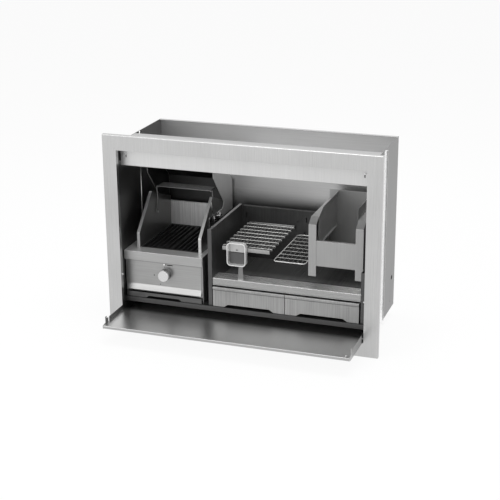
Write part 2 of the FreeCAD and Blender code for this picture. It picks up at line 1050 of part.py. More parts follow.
def rear_hook(x, depth, height, radius):
    """Wire hook that runs back through a slot and turns down behind the plate."""
    behind = hearth_back + wall + grid_hook_gap + radius
    points = [V(x, at(depth), height), V(x, at(behind), height), V(x, at(behind), height - 3 * radius)]
    return bent_wire(points, radius, 0)


def grid_left():
    """Left cooking grid: flat end bars, rods from front to back and upright loops round them."""
    back = hearth_back - grid_back_gap
    top = grid_left_top
    low = top - grid_bar_height
    solids = []
    for depth in (grid_front, back - grid_bar_thick):
        solids.append(block(
            grid_left_low_x, grid_left_high_x, at(depth), at(depth + grid_bar_thick), low, top,
        ))
    level = top - 2 * grid_wire + grid_weld - grid_edge_rod
    step = (grid_left_high_x - grid_left_low_x - 2 * grid_edge_rod) / (grid_left_rods - 1)
    for index in range(grid_left_rods):
        x = grid_left_low_x + grid_edge_rod + index * step
        start = V(x, at(grid_front + grid_bar_thick / 2), level)
        end = V(x, at(back - grid_bar_thick / 2), level)
        radius = grid_rod
        if index in (0, grid_left_rods - 1):
            radius = grid_edge_rod
        solids.append(wire(start, end, radius))
    pitch = (back - grid_front) / grid_left_loops
    upper = top - grid_wire
    lower = level - grid_edge_rod - grid_loop_play - grid_wire
    for index in range(grid_left_loops):
        y = at(grid_front + pitch * (index + 0.5))
        solids.append(wire_loop(
            V(grid_left_low_x - grid_loop_end, y, lower), V(grid_left_high_x + grid_loop_end, y, upper),
            grid_wire, (upper - lower) / 2,
        ))
    for x, height, radius in grid_hooks()[:2]:
        solids.append(rear_hook(x, back - grid_bar_thick / 2, height, radius))
    return fused(solids)


def grid_right_rim():
    """Height of the right grid's rim wire, which its rows lie on."""
    return grid_right_top - 2 * grid_right_thin - grid_wire_play


def grid_right():
    """Right cooking grid: a rim of wire with rows on top of it and rods below them."""
    back = hearth_back - grid_back_gap
    z = grid_right_rim()
    low_x = grid_right_low_x + grid_right_wire
    high_x = grid_right_high_x - grid_right_wire
    front_y = at(grid_right_front + grid_right_wire)
    back_y = at(back - grid_right_wire)
    thin = grid_right_thin
    rise = thin + grid_wire_play
    solids = [wire_loop(V(low_x, front_y, z), V(high_x, back_y, z), grid_right_wire, grid_right_corner)]
    for index in range(1, grid_right_rows):
        y = front_y + (back_y - front_y) * index / grid_right_rows
        solids.append(wire(V(low_x, y, z + rise), V(high_x, y, z + rise), thin))
    for index in range(1, grid_right_cells):
        x = low_x + (high_x - low_x) * index / grid_right_cells
        solids.append(wire(V(x, front_y, z - rise), V(x, back_y, z - rise), thin))
    for x, height, radius in grid_hooks()[2:]:
        solids.append(rear_hook(x, back - grid_right_wire, height, radius))
    return fused(solids)


def prop_loop():
    """Flat strip bent to a rounded loop, the head of the grid prop."""
    points = [
        (prop_left, prop_low), (prop_right, prop_low), (prop_right, prop_high), (prop_left, prop_high),
    ]
    inset = prop_strip
    inner = [
        (prop_left + inset, prop_low + inset),
        (prop_right - inset, prop_low + inset),
        (prop_right - inset, prop_high - inset),
        (prop_left + inset, prop_high - inset),
    ]
    outer = plate_y(points, prop_front, prop_front + prop_depth, prop_corner)
    hollow = plate_y(inner, prop_front - 1, prop_front + prop_depth + 1, prop_corner - inset)
    return outer.cut(hollow)


def prop_plate(low, high, shelf):
    """Plate inside the loop, with a shelf under the grid's front bar where it has one."""
    left = prop_left + prop_strip
    right = prop_right - prop_strip
    radius = prop_corner - prop_strip
    back = prop_front + prop_depth
    mid = (prop_low + prop_high) / 2
    full = plate_y(
        [(left, prop_low + prop_strip), (right, prop_low + prop_strip),
         (right, prop_high - prop_strip), (left, prop_high - prop_strip)],
        back - wall, back, radius,
    )
    plate = full.common(block(left - 1, right + 1, at(back - 2 * wall), at(back + 1), low, high))
    if shelf:
        top = grid_left_top - grid_bar_height - 0.3
        ledge = block(
            left + radius, right - radius, at(back - wall), at(back + prop_shelf), top - wall, top,
        )
        plate = plate.fuse(ledge).removeSplitter()
    if high < mid:
        return plate
    start = V(prop_hole_x, at(back - 2 * wall), prop_hole_height)
    end = V(prop_hole_x, at(back + 1), prop_hole_height)
    return plate.cut(rod(start, end, prop_hole_radius))


def prop_upper_plate():
    """Upper plate of the prop's head."""
    return prop_plate(prop_plate_split + prop_plate_gap, prop_high, True)


def prop_lower_plate():
    """Lower plate of the prop's head."""
    return prop_plate(prop_low, prop_plate_split, False)


def prop_stem():
    """Tapered foot of the prop, standing on the rail."""
    foot = ash_floor + rail_height + 0.3
    half = prop_stem_width / 2
    neck = prop_stem_neck / 2
    points = [
        (prop_stem_x - half, foot),
        (prop_stem_x + half, foot),
        (prop_stem_x + neck, prop_low),
        (prop_stem_x - neck, prop_low),
    ]
    back = prop_front + prop_depth / 2
    web = plate_y(points, back, back + frame_sheet)
    sole = block(
        prop_stem_x - half, prop_stem_x + half, at(back), at(back + prop_sole), foot, foot + frame_sheet,
    )
    return fused([web, sole])


def basket_side(side):
    """Side of the basket: a folded wall with a post in front, a rim and a leaning lip."""
    left = basket_left
    inner = left + basket_post
    rise = basket_rim + basket_lip_rise
    start = basket_front + basket_setback
    skin = folded_y(
        [(left, basket_low), (left, basket_rim), (inner, basket_rim), (inner + basket_lip_lean, rise)],
        start, basket_back,
    )
    trimmed_lip = plate_x(
        [(start - 1, basket_rim + wall), (start + basket_lip_rise, rise + wall), (start - 1, rise + wall)],
        inner - 1, inner + basket_lip_lean + wall + 1,
    )
    skin = skin.cut(trimmed_lip)
    post_path = [
        (basket_front, basket_low),
        (basket_front, basket_post_top),
        (start, basket_rim),
    ]
    post = folded_x(post_path[::-1], left, inner)
    web_outline = [
        (basket_front, basket_low),
        (start, basket_low),
        (start, basket_rim),
        (basket_front, basket_post_top),
    ]
    web = plate_x(web_outline, left, left + wall)
    lining = block(
        inner - wall, inner, at(start), at(basket_back), basket_ledge, basket_rim - wall,
    )
    ledge = block(
        inner - wall, inner + basket_ledge_reach, at(start), at(basket_back),
        basket_ledge, basket_ledge + wall,
    )
    solid = fused([skin, post, web, lining, ledge])
    count = int((basket_back - start) / perforation_pitch)
    low = basket_rim + perforation_rise
    cutters = []
    for index in range(1, count):
        depth = start + basket_lip_rise + index * perforation_pitch
        if depth + perforation < basket_back - perforation:
            cutters.append(block(
                inner, inner + basket_lip_lean, at(depth), at(depth + perforation),
                low, low + perforation,
            ))
    solid = solid.cut(cutters)
    if side > 0:
        return mirrored(solid, (basket_left + basket_right) / 2)
    return solid


def basket_front_panel():
    """Front of the basket, between the posts."""
    low_x = basket_left + basket_post - basket_seam
    high_x = basket_right - basket_post + basket_seam
    depth = basket_front + wall
    path = [
        (depth + basket_hem, basket_panel_low),
        (depth, basket_panel_low),
        (depth, basket_panel_top),
        (depth + basket_hem, basket_panel_top),
    ]
    return folded_x(path[::-1], low_x, high_x)


def basket_back_panel():
    """Back of the basket, with two hooks over the hearth's back plate."""
    low_x = basket_left + wall
    high_x = basket_right - wall
    panel = block(low_x, high_x, at(basket_back), at(basket_back + wall), basket_low, basket_back_top)
    level = hearth_back_top + slide_gap
    solids = [panel]
    reach = hearth_back + hearth_rim + 2
    path = [(basket_back, level), (reach, level), (reach, level - basket_hook_drop)]
    for x in (low_x + basket_hook_inset, high_x - basket_hook_inset - basket_hook_width):
        solids.append(folded_x(path, x, x + basket_hook_width))
    return fused(solids)


def basket_grate():
    """Bars across the bottom of the basket, in two side rails."""
    first = basket_front + basket_grate_front
    last = basket_back - basket_grate_back
    z = basket_grate_height
    rail = basket_grate_rail
    solids = []
    for x in (basket_left + wall, basket_right - wall - rail):
        solids.append(block(
            x, x + rail, at(first - rail), at(last + rail), z - basket_grate_rail_height, z,
        ))
    for index in range(basket_bars):
        depth = first + (last - first) * index / (basket_bars - 1)
        solids.append(wire(
            V(basket_left + rail / 2, at(depth), z - basket_bar_radius),
            V(basket_right - rail / 2, at(depth), z - basket_bar_radius), basket_bar_radius,
        ))
    return fused(solids)


def gas_casing():
    """Open-topped casing of the gas grill, on side walls that straddle the drip tray."""
    top = gas_top - wall
    back = gas_back
    plan = [
        (gas_left + casing_flange, panel_depth + wall),
        (gas_left, panel_depth + wall),
        (gas_left, back),
        (gas_right, back),
        (gas_right, panel_depth + wall),
        (gas_right - casing_flange, panel_depth + wall),
    ]
    walls = folded_z(plan[::-1], floor_top, top)
    inlet = rod(
        V(inlet_x(), at(back - 2 * wall), inlet_height), V(inlet_x(), at(back + wall), inlet_height),
        inlet_radius + 1,
    )
    mouth = block(
        gas_left + casing_jamb, gas_right - casing_jamb, at(panel_depth), at(panel_depth + 3 * wall),
        floor_top - 1, tray_top,
    )
    floor = block(
        gas_left + wall, gas_right - wall, at(panel_depth + 2 * wall), at(back - wall),
        gas_floor - wall, gas_floor,
    )
    drain = block(
        gas_middle - gas_drain, gas_middle + gas_drain, at(burner_front), at(burner_back),
        gas_floor - 2 * wall, gas_floor + wall,
    )
    return fused([walls.cut([mouth, inlet]), floor.cut(drain)])


def inlet_x():
    """X of the gas feed pipe where it leaves the casing."""
    return gas_right - inlet_inset


def gas_surround():
    """Top plate of the gas grill, with its front edge folded down in a deep skirt."""
    front_edge = front_plane
    path = [
        (front_edge, gas_top - gas_skirt),
        (front_edge, gas_top),
        (gas_back, gas_top),
    ]
    plate = folded_x(path[::-1], gas_left, gas_right)
    skirt_low = gas_top - gas_skirt
    low_lip = block(
        gas_left, gas_right, at(front_edge), at(front_edge + gas_skirt_lip), skirt_low, skirt_low + wall,
    )
    hole = block(
        gas_hole_left, gas_hole_right, at(gas_ledge_front), at(gas_hole_back),
        gas_top - 2 * wall, gas_top + wall,
    )
    return fused([plate, low_lip]).cut(hole)


def control_panel():
    """Panel behind the skirt, with a bevelled foot."""
    low_x = gas_left + panel_inset
    high_x = gas_right - panel_inset
    back = panel_depth + wall
    path = [
        (panel_depth, gas_top - gas_skirt + panel_overlap),
        (panel_depth, panel_bevel_top),
        (panel_depth - panel_bevel_reach, panel_low),
        (panel_depth - panel_bevel_reach + 10, panel_low),
    ]
    panel = folded_x(path, low_x, high_x)
    stem = rod(V(knob_x, at(0), knob_height), V(knob_x, at(back + 9), knob_height), stem_radius + 2)
    button = rod(
        V(igniter_x, at(0), igniter_height), V(igniter_x, at(back + 9), igniter_height),
        igniter_radius + running_gap,
    )
    vent = block(
        vent_left, vent_right, at(panel_depth - 2), at(back + 9),
        vent_height - vent_gap / 2, vent_height + vent_gap / 2,
    )
    return panel.cut([stem, button, vent])


def knob_bezel():
    """Ring on the panel round the knob's base."""
    outer = knob_base_radius + bezel_rim
    start = V(knob_x, at(panel_depth - bezel_thick), knob_height)
    end = V(knob_x, at(panel_depth), knob_height)
    ring = tube(start, end, outer, stem_radius + 2)
    rim = [edge for edge in ring.Edges if edge.BoundBox.YMax < at(panel_depth - bezel_thick / 2)]
    widest = max(rim, key=lambda edge: edge.BoundBox.XLength)
    return ring.makeChamfer(bezel_thick / 2, [widest])


def knob():
    """Control knob: a wide disc on a narrower base, bored for the valve stem."""
    base_back = panel_depth - bezel_thick - slide_gap
    disc_back = knob_front + knob_disc
    outline = [
        (0, base_back),
        (knob_base_radius, base_back),
        (knob_base_radius - knob_chamfer, base_back - knob_base),
        (knob_waist, disc_back),
        (knob_radius - knob_chamfer, disc_back),
        (knob_radius, disc_back - knob_chamfer),
        (knob_radius, knob_front + knob_chamfer),
        (knob_radius - knob_chamfer, knob_front),
        (0, knob_front),
    ]
    body = turned(outline, knob_x, knob_front, knob_height)
    bore = rod(
        V(knob_x, at(disc_back), knob_height), V(knob_x, at(base_back + 1), knob_height),
        stem_radius + running_gap,
    )
    return body.cut(bore)


def gas_valve():
    """Gas valve behind the panel, with the stem that the knob turns."""
    half = valve_width / 2
    back = panel_depth + wall
    body = block(
        knob_x - half, knob_x + half, at(back + 2), at(back + 2 + valve_width),
        knob_height - half, knob_height + half,
    )
    body = body.makeChamfer(4.0, [edge for edge in body.Edges if edge.BoundBox.YLength > 1])
    neck = rod(V(knob_x, at(back), knob_height), V(knob_x, at(back + 3), knob_height), stem_radius + 6)
    stem = rod(
        V(knob_x, at(knob_front + knob_disc + 1), knob_height), V(knob_x, at(back + 2), knob_height),
        stem_radius,
    )
    nozzle = rod(
        V(knob_x, at(back + 2 + valve_width), knob_height),
        V(knob_x, at(back + 2 + valve_width + valve_nozzle), knob_height), stem_radius,
    )
    return fused([body, neck, stem, nozzle])


def igniter_collar():
    """Collar of the igniter button."""
    start = V(igniter_x, at(panel_depth - bezel_thick), igniter_height)
    end = V(igniter_x, at(panel_depth), igniter_height)
    return tube(start, end, igniter_radius + igniter_rim, igniter_radius + running_gap)


def igniter_button():
    """Push button of the igniter."""
    start = V(igniter_x, at(panel_depth - bezel_thick - igniter_stand), igniter_height)
    end = V(igniter_x, at(panel_depth + wall + igniter_tail), igniter_height)
    button = rod(start, end, igniter_radius)
    face_edge = [edge for edge in button.Edges if edge.BoundBox.YMax < at(panel_depth - igniter_stand)]
    return button.makeChamfer(1.2, face_edge)


def igniter_housing():
    """Igniter body behind the panel, which the button is pushed into."""
    back = panel_depth + wall
    start = V(igniter_x, at(back), igniter_height)
    end = V(igniter_x, at(back + igniter_body), igniter_height)
    body = rod(start, end, igniter_radius + igniter_shoulder)
    pocket_end = V(igniter_x, at(back + igniter_tail + igniter_travel + 2), igniter_height)
    vent = block(
        vent_left - 1, vent_right, at(back - 1), at(back + igniter_body + 1),
        vent_height - vent_gap, vent_height + vent_gap,
    )
    return body.cut(rod(start, pocket_end, igniter_radius + running_gap)).cut(vent)


def burner():
    """Hairpin burner tube, fed from the valve's nozzle."""
    x = knob_x
    low = x - burner_half_width
    high = x + burner_half_width
    z = burner_height
    corner = burner_bend
    loop = wire_loop(
        V(low, at(burner_front), z), V(high, at(burner_back), z), burner_radius, corner, tube_sides,
    )
    foot_back = at(burner_back - corner - burner_foot)
    mouth = panel_depth + wall + 2 + valve_width + 4
    venturi = Part.makeCone(
        burner_radius, burner_radius - 2, burner_front - mouth - burner_neck + 1,
        V(x, at(mouth), knob_height), V(0, 1, 0),
    )
    neck_points = [
        V(x, at(burner_front - burner_neck), knob_height),
        V(x, at(burner_front), knob_height),
        V(x, at(burner_front), z),
    ]
    neck = bent_wire(neck_points, burner_radius - 2, burner_radius, tube_sides)
    feet = [
        block(
            x_foot - burner_foot / 2, x_foot + burner_foot / 2, foot_back - burner_foot / 2,
            foot_back + burner_foot / 2, gas_floor, z - burner_radius / 2,
        )
        for x_foot in (low, high)
    ]
    bore = rod(V(x, at(mouth - 1), knob_height), V(x, at(mouth + burner_mouth), knob_height), stem_radius + 2)
    return fused([loop, venturi, neck] + feet).cut(bore)


def flame_tamer():
    """Tent of sheet over the burner."""
    peak = tamer_height + tamer_rise
    points = [
        (knob_x - tamer_half_width, gas_floor),
        (knob_x - tamer_half_width, tamer_height),
        (knob_x, peak),
        (knob_x + tamer_half_width, tamer_height),
        (knob_x + tamer_half_width, gas_floor),
    ]
    return folded_y(points, burner_front - tamer_front, burner_back + tamer_back)


def gas_pipe():
    """Feed pipe from the valve down, back through the casing and to a union behind it."""
    depth = at(panel_depth + wall + 2 + valve_width / 2)
    points = [
        V(knob_x + valve_width / 2, depth, knob_height),
        V(inlet_x(), depth, knob_height),
        V(inlet_x(), depth, inlet_height),
        V(inlet_x(), at(gas_back + inlet_setback), inlet_height),
        V(inlet_x() + inlet_reach, at(gas_back + inlet_setback), inlet_height),
    ]
    pipe = bent_wire(points, inlet_radius, inlet_setback, tube_sides)
    union = rod(points[-1] - V(inlet_union_length, 0, 0), points[-1], inlet_union_radius)
    return fused([pipe, union])


def grate():
    """Left half of the cast grate, with tapered ribs from front to back."""
    low_x = gas_hole_left + grate_side_gap
    high_x = gas_middle - grate_side_gap / 2
    top = gas_top - 1
    low = top - grate_thick
    solids = [
        block(low_x, high_x, at(grate_front), at(grate_front + grate_rim), low, top),
        block(low_x, high_x, at(grate_back - grate_rim), at(grate_back), low, top),
    ]
    step = (high_x - low_x - grate_rib_base) / grate_ribs
    for index in range(grate_ribs + 1):
        x = low_x + grate_rib_base / 2 + index * step
        half_low = grate_rib_base / 2
        half_top = grate_rib_top / 2
        points = [
            (x - half_low, low), (x + half_low, low), (x + half_top, top), (x - half_top, top),
        ]
        solids.append(plate_y(points, grate_front + 1, grate_back - 1))
    return fused(solids)


def grate_rests():
    """Angle strips in the casing that carry the grates front and back."""
    level = gas_top - 1 - grate_thick - 0.3
    low_x = gas_hole_left
    high_x = gas_hole_right
    strips = []
    near = gas_ledge_front - 2
    strips.append(folded_x(
        [(near + grate_rest, level), (near, level), (near, gas_top - wall)], low_x, high_x,
    ))
    far = gas_hole_back + 2
    strips.append(folded_x(
        [(far, gas_top - wall), (far, level), (far - grate_rest, level)], low_x, high_x,
    ))
    return Part.makeCompound(strips)


def wing():
    """Left side plate of the gas grill, upright, with a peaked top."""
    outline = [
        (wing_front, gas_top),
        (wing_end_depth, gas_top),
        (wing_end_depth, wing_end),
        (wing_rear_depth, wing_rear),
        (wing_peak_depth, wing_peak),
        (wing_front, wing_knee),
    ]
    corners = []
    outer = gas_hole_left - wing_thick
    for depth, height in outline:
        radius = wing_corner
        if height == gas_top:
            radius = 0
        corners.append((V(outer, at(depth), height), radius))
    return outline_face(corners).extrude(V(wing_thick, 0, 0))


def splash_plate():
    """Plate behind the grates, with its top edge folded forward."""
    path = [
        (wing_end_depth, gas_top),
        (wing_end_depth, splash_top),
        (wing_end_depth - splash_rim, splash_top),
    ]
    return folded_x(path, gas_hole_left, gas_hole_right)


def hinge_bracket():
    """Plate on the outside of the left wing that carries the hood's hinge pin."""
    outer = gas_hole_left - wing_thick
    points = [
        (bracket_front, bracket_low),
        (hood_hinge_depth + hood_ear, bracket_low),
        (hood_hinge_depth + hood_ear, bracket_high),
        (bracket_front, bracket_high),
    ]
    plate = plate_x(points, outer - hood_bracket, outer, 8.0)
    hinge = V(outer - hood_bracket - 1, at(hood_hinge_depth), hood_hinge_height)
    return plate.cut(rod(hinge, V(outer + 1, hinge.y, hinge.z), hood_pin_radius + running_gap))


def hood_pin():
    """Left hinge pin of the hood."""
    inner = gas_hole_left - wing_thick
    y = at(hood_hinge_depth)
    shank = rod(V(inner, y, hood_hinge_height), V(hood_left - 2, y, hood_hinge_height), hood_pin_radius)
    head = rod(
        V(hood_left - 0.4, y, hood_hinge_height), V(hood_left - 4, y, hood_hinge_height), hood_pin_head,
    )
    return fused([shank, head])


def opened(solid):
    """Shut hood piece turned up about the hinge into its open place."""
    turned_up = solid.copy()
    turned_up.rotate(V(0, at(hood_hinge_depth), hood_hinge_height), V(1, 0, 0), -90)
    return turned_up


def hood_skin():
    """Front, slope and top of the hood, folded from one sheet."""
    path = [
        (hood_front + hood_lip, hood_low),
        (hood_front, hood_low),
        (hood_front, hood_knee),
        (hood_top_front, hood_top),
        (hood_back, hood_top),
        (hood_back, hood_top - hood_lip),
    ]
    return opened(folded_x(path[::-1], hood_left + hood_sheet, hood_right - hood_sheet, hood_sheet))


def hood_end():
    """Left end plate of the hood, cut away under a tent and drawn out to an ear round its pin."""
    outline = [
        (hood_front, hood_low),
        (hood_front, hood_knee),
        (hood_top_front, hood_top),
        (hood_back, hood_top),
        (hood_hinge_depth + hood_ear, hood_hinge_height),
        (hood_hinge_depth, hood_hinge_height - hood_ear),
        (hood_neck_depth, hood_neck),
        (hood_crest_depth, hood_crest),
        (hood_crest_depth - hood_crest_width, hood_crest - hood_crest_width / 2),
        (hood_toe_depth, hood_toe),
        (hood_toe_depth - hood_toe_width, hood_toe - hood_toe_drop),
        (hood_front + hood_lip, hood_low),
    ]
    plate = plate_x(outline, hood_left, hood_left + hood_sheet)
    centre = V(hood_left, at(hood_hinge_depth), hood_hinge_height)
    far = V(hood_left + hood_sheet, centre.y, centre.z)
    ear = rod(centre, far, hood_ear)
    bore = rod(centre - V(1, 0, 0), far + V(1, 0, 0), hood_pin_radius + running_gap)
    return opened(fused([plate, ear]).cut(bore))


def link_pin():
    """Pin on the left wing that a link of the rack swings on."""
    y = at(link_depth)
    wing_face = gas_hole_left
    tip = V(wing_face + link_pin_length, y, link_height)
    shank = rod(V(wing_face, y, link_height), tip, link_pin_radius)
    head = rod(tip - V(link_pin_head, 0, 0), tip, link_pin_radius + link_pin_rim)
    return fused([shank, head])


def rack_link():
    """Left wire link of the warming rack, with an eye below and a cranked pin above."""
    x = gas_hole_left + link_gap + link_wire
    y = at(link_depth)
    top = link_height + link_length
    eye = tube(
        V(x - link_eye_width / 2, y, link_height), V(x + link_eye_width / 2, y, link_height),
        link_eye, link_pin_radius + running_gap,
    )
    points = [
        V(x, y, link_height + link_pin_radius + 1.5),
        V(x, y + link_sway, link_height + link_length * link_elbow),
        V(x, y, top),
    ]
    pin_end = gas_hole_left + rack_width_inset + rack_eye_width / 2 + 0.5
    pin = rod(V(x - link_wire, y, top), V(pin_end, y, top), link_wire)
    return fused([bent_wire(points, link_wire, link_bend), pin, eye])


def warming_rack():
    """Small wire rack that hangs level between the links."""
    low_x = gas_hole_left + rack_width_inset
    high_x = gas_hole_right - rack_width_inset
    z = link_height + link_length
    front_y = at(link_depth)
    back_y = at(link_depth + rack_reach)
    solids = [wire_loop(V(low_x, front_y, z), V(high_x, back_y, z), rack_wire, rack_corner)]
    for index in range(1, rack_rods):
        y = front_y + (back_y - front_y) * index / rack_rods
        solids.append(wire(V(low_x, y, z), V(high_x, y, z), rack_wire * 0.7))
    for x in (low_x, high_x):
        half = rack_eye_width / 2
        solids.append(rod(V(x - half, front_y, z), V(x + half, front_y, z), rack_eye))
    rack = fused(solids)
    for x in (low_x, high_x):
        start = V(x - rack_eye_width, front_y, z)
        end = V(x + rack_eye_width, front_y, z)
        rack = rack.cut(rod(start, end, link_wire + running_gap))
    return rack


def drip_tray():
    """Shallow pan under the gas grill, with a wider front that has a finger notch."""
    low_x = gas_left + tray_inset
    high_x = gas_right - tray_inset
    low = floor_top + drawer_lift
    plate = block(low_x, high_x, at(front_plane), at(front_plane + wall), low, tray_top)
    notch = trapezoid_notch(
        (low_x + high_x) / 2, low, tray_notch_width, tray_notch_top_width,
        tray_notch_height, front_plane - 1, front_plane + wall + 1,
    )
    pan = open_box(
        low_x + tray_inset, high_x - tray_inset, front_plane + wall, front_plane + tray_length,
        floor_top + tray_runner_height + slide_gap, tray_top - 1,
    )
    return fused([plate.cut(notch), pan])


nodes = {
    "front_frame": front_frame(),
    "cabinet_wall_left": side_wall(-1),
    "cabinet_wall_right": side_wall(1),
    "cabinet_back": back_wall(),
    "base_pan": base_pan(),
    "header_plate": header(),
    "wall_ties": pair(wall_tie()),
    "draught_strip": draught_strip(),
    "strip_brackets": pair(strip_bracket()),
    "strip_bolts": pair(strip_bolt()),
    "flap_shelf": flap_shelf(),
    "flap_cheeks": pair(flap_cheek()),
    "flap_hinge_pins": pair(flap_hinge_pin()),
    "latch_pins": pair(latch_pin()),
    "latch_plates": pair(latch_plate()),
    "hearth_floor": hearth_floor(),
    "drawer_left_front": drawer_front(-1),
    "drawer_left_box": drawer_box(-1),
    "drawer_right_front": drawer_front(1),
    "drawer_right_box": drawer_box(1),
    "slide_runners": runners(),
    "hearth_left_plate": hearth_left_plate(),
    "hearth_right_plate": hearth_right_plate(),
    "hearth_back_plate": hearth_back_plate(),
    "ash_floor": ash_floor_plate(),
    "front_rail": front_rail(),
    "grid_left": grid_left(),
    "grid_right": grid_right(),
    "prop_loop": prop_loop(),
    "prop_upper_plate": prop_upper_plate(),
    "prop_lower_plate": prop_lower_plate(),
    "prop_stem": prop_stem(),
    "basket_side_left": basket_side(-1),
    "basket_side_right": basket_side(1),
    "basket_front": basket_front_panel(),
    "basket_back": basket_back_panel(),
    "basket_grate": basket_grate(),
    "gas_casing": gas_casing(),
    "gas_surround": gas_surround(),
    "control_panel": control_panel(),
    "knob_bezel": knob_bezel(),
    "knob": knob(),
    "gas_valve": gas_valve(),
    "igniter_collar": igniter_collar(),
    "igniter_housing": igniter_housing(),
    "igniter_button": igniter_button(),
    "burner": burner(),
    "flame_tamer": flame_tamer(),
    "gas_pipe": gas_pipe(),
    "cast_grates": pair(grate(), gas_middle),
    "grate_rests": grate_rests(),
    "wings": pair(wing(), gas_middle),
    "splash_plate": splash_plate(),
    "hood_hinge": Part.makeCompound([
        pair(hinge_bracket(), gas_middle), pair(hood_pin(), gas_middle),
    ]),
    "hood_skin": hood_skin(),
    "hood_ends": pair(hood_end(), gas_middle),
    "rack_pivots": pair(link_pin(), gas_middle),
    "rack_links": pair(rack_link(), gas_middle),
    "warming_rack": warming_rack(),
    "drip_tray": drip_tray(),
}

os.makedirs("parts", exist_ok=True)
for name, shape in nodes.items():
    box = shape.BoundBox
    print(
        name, "valid" if shape.isValid() else "NOT VALID", len(shape.Solids), "solids",
        round(shape.Volume / 1000.0, 1), "cm3",
        [round(value, 1) for value in (box.XMin, box.XMax, box.YMin, box.YMax, box.ZMin, box.ZMax)],
    )
    shape.exportStep("parts/" + name + ".step")
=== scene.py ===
from functools import cache
from math import cos, pi, radians, sin, tan

import bmesh
import bpy
from bpy.props import FloatProperty, FloatVectorProperty, IntProperty, PointerProperty
from bpy.types import Operator, Panel, PropertyGroup
from mathutils import Matrix, Quaternion, Vector


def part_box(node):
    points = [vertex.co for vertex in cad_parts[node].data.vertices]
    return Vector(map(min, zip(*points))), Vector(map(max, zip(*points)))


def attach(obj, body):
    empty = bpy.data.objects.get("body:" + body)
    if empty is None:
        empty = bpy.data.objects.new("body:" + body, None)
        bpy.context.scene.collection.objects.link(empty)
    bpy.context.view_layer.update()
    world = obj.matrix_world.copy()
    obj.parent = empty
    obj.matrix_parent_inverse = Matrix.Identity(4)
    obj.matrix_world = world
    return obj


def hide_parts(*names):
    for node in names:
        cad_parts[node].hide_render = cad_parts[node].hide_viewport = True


bl_info = {
    "name": "Built-in barbecue grill",
    "version": (1, 0, 0),
    "blender": (4, 5, 0),
    "location": "3D View > Sidebar > Barbecue",
    "description": "Finishes and fine pieces of a built-in steel barbecue in a wide frame",
    "category": "Object",
}

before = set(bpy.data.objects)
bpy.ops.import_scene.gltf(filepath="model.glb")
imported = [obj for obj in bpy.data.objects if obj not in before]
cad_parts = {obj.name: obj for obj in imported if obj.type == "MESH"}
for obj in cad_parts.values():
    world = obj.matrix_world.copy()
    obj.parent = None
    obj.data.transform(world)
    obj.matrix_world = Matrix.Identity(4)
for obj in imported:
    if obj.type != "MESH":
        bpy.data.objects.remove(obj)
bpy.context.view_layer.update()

MM = 0.001
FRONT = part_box("front_frame")[0].y
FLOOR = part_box("front_frame")[0].z

# Hood hinge: depth behind the border's face and height, in millimetres
HINGE_DEPTH = 331.0
HINGE_HEIGHT = 395.0


def point(x, depth, height):
    """Place in metres of a point in millimetres, with its depth behind the border's face."""
    return Vector((x * MM, FRONT + depth * MM, height * MM))


def opened_hood(x, depth, height):
    """Place on the open hood of a point that is given as if the hood were shut."""
    return point(x, HINGE_DEPTH + height - HINGE_HEIGHT, HINGE_HEIGHT - depth + HINGE_DEPTH)


# ---- Sizes and colours that a user would change


def count(name, text, default, least, most):
    """Property that holds a number of pieces."""
    return IntProperty(name=name, description=text, default=default, min=least, max=most)


def length(name, text, default):
    """Property that holds a length in millimetres, shown as it is."""
    return FloatProperty(name=name, description=text, default=default, min=0.0, soft_max=2000.0)


def angle(name, text, degrees):
    """Property that holds an angle."""
    return FloatProperty(name=name, description=text, default=radians(degrees), unit="ROTATION")


def share(name, text, default):
    """Property from 0 to 1."""
    return FloatProperty(
        name=name, description=text, default=default, min=0.0, max=1.0, subtype="FACTOR",
    )


def tint(name, text, default):
    """Property that holds a colour."""
    return FloatVectorProperty(
        name=name, description=text, default=default, min=0.0, max=1.0, size=3, subtype="COLOR",
    )


class GrillSteel(PropertyGroup):
    """Colours and finish of the sheet steel."""

    border: tint("Border", "Brushed steel of the border, strip and shelf", (0.52, 0.52, 0.518))
    front: tint("Fronts", "Brushed steel of drawers, panel and basket", (0.36, 0.36, 0.358))
    inner: tint("Inner plates", "Steel of splash plate, wings and hood", (0.6, 0.6, 0.597))
    cabinet: tint("Cabinet", "Mill-finish steel of the cabinet's walls", (0.42, 0.42, 0.42))
    fireplace: tint("Fireplace", "Heat-darkened steel round the charcoal", (0.07, 0.07, 0.07))
    # Painted shade: colour of the sill, the drip tray, the prop's lower plate and the brackets,
    # which stand in shade
    shadow: tint("Dark sheet", "Dull sheet of the sill and the drip tray", (0.09, 0.09, 0.09))
    grain: share("Grain", "How strongly the brushing shows", 0.5)


class GrillWires(PropertyGroup):
    """Sizes of the wire grids, the rack and its links."""

    left_rods: count("Rods", "Rods of the left grid", 14, 4, 40)
    left_loops: count("Loops", "Loops of the left grid", 8, 1, 20)
    left_wire: length("Loop wire", "Radius of the left grid's loop wire in mm", 2.0)
    left_rod: length("Rod", "Radius of the left grid's rods in mm", 1.8)
    left_edge_rod: length("Edge rod", "Radius of the left grid's two edge rods in mm", 2.3)
    right_wire: length("Rim wire", "Radius of the right grid's rim in mm", 2.0)
    right_thin: length("Thin wire", "Radius of the right grid's thin wires in mm", 1.4)
    right_rows: count("Rows", "Rows of the right grid", 8, 2, 30)
    right_cells: count("Cells", "Cells in a row of the right grid", 7, 2, 30)
    rack_wire: length("Rack wire", "Radius of the warming rack's wire in mm", 2.5)
    rack_rods: count("Rack rods", "Spaces between the rack's rods", 9, 2, 30)


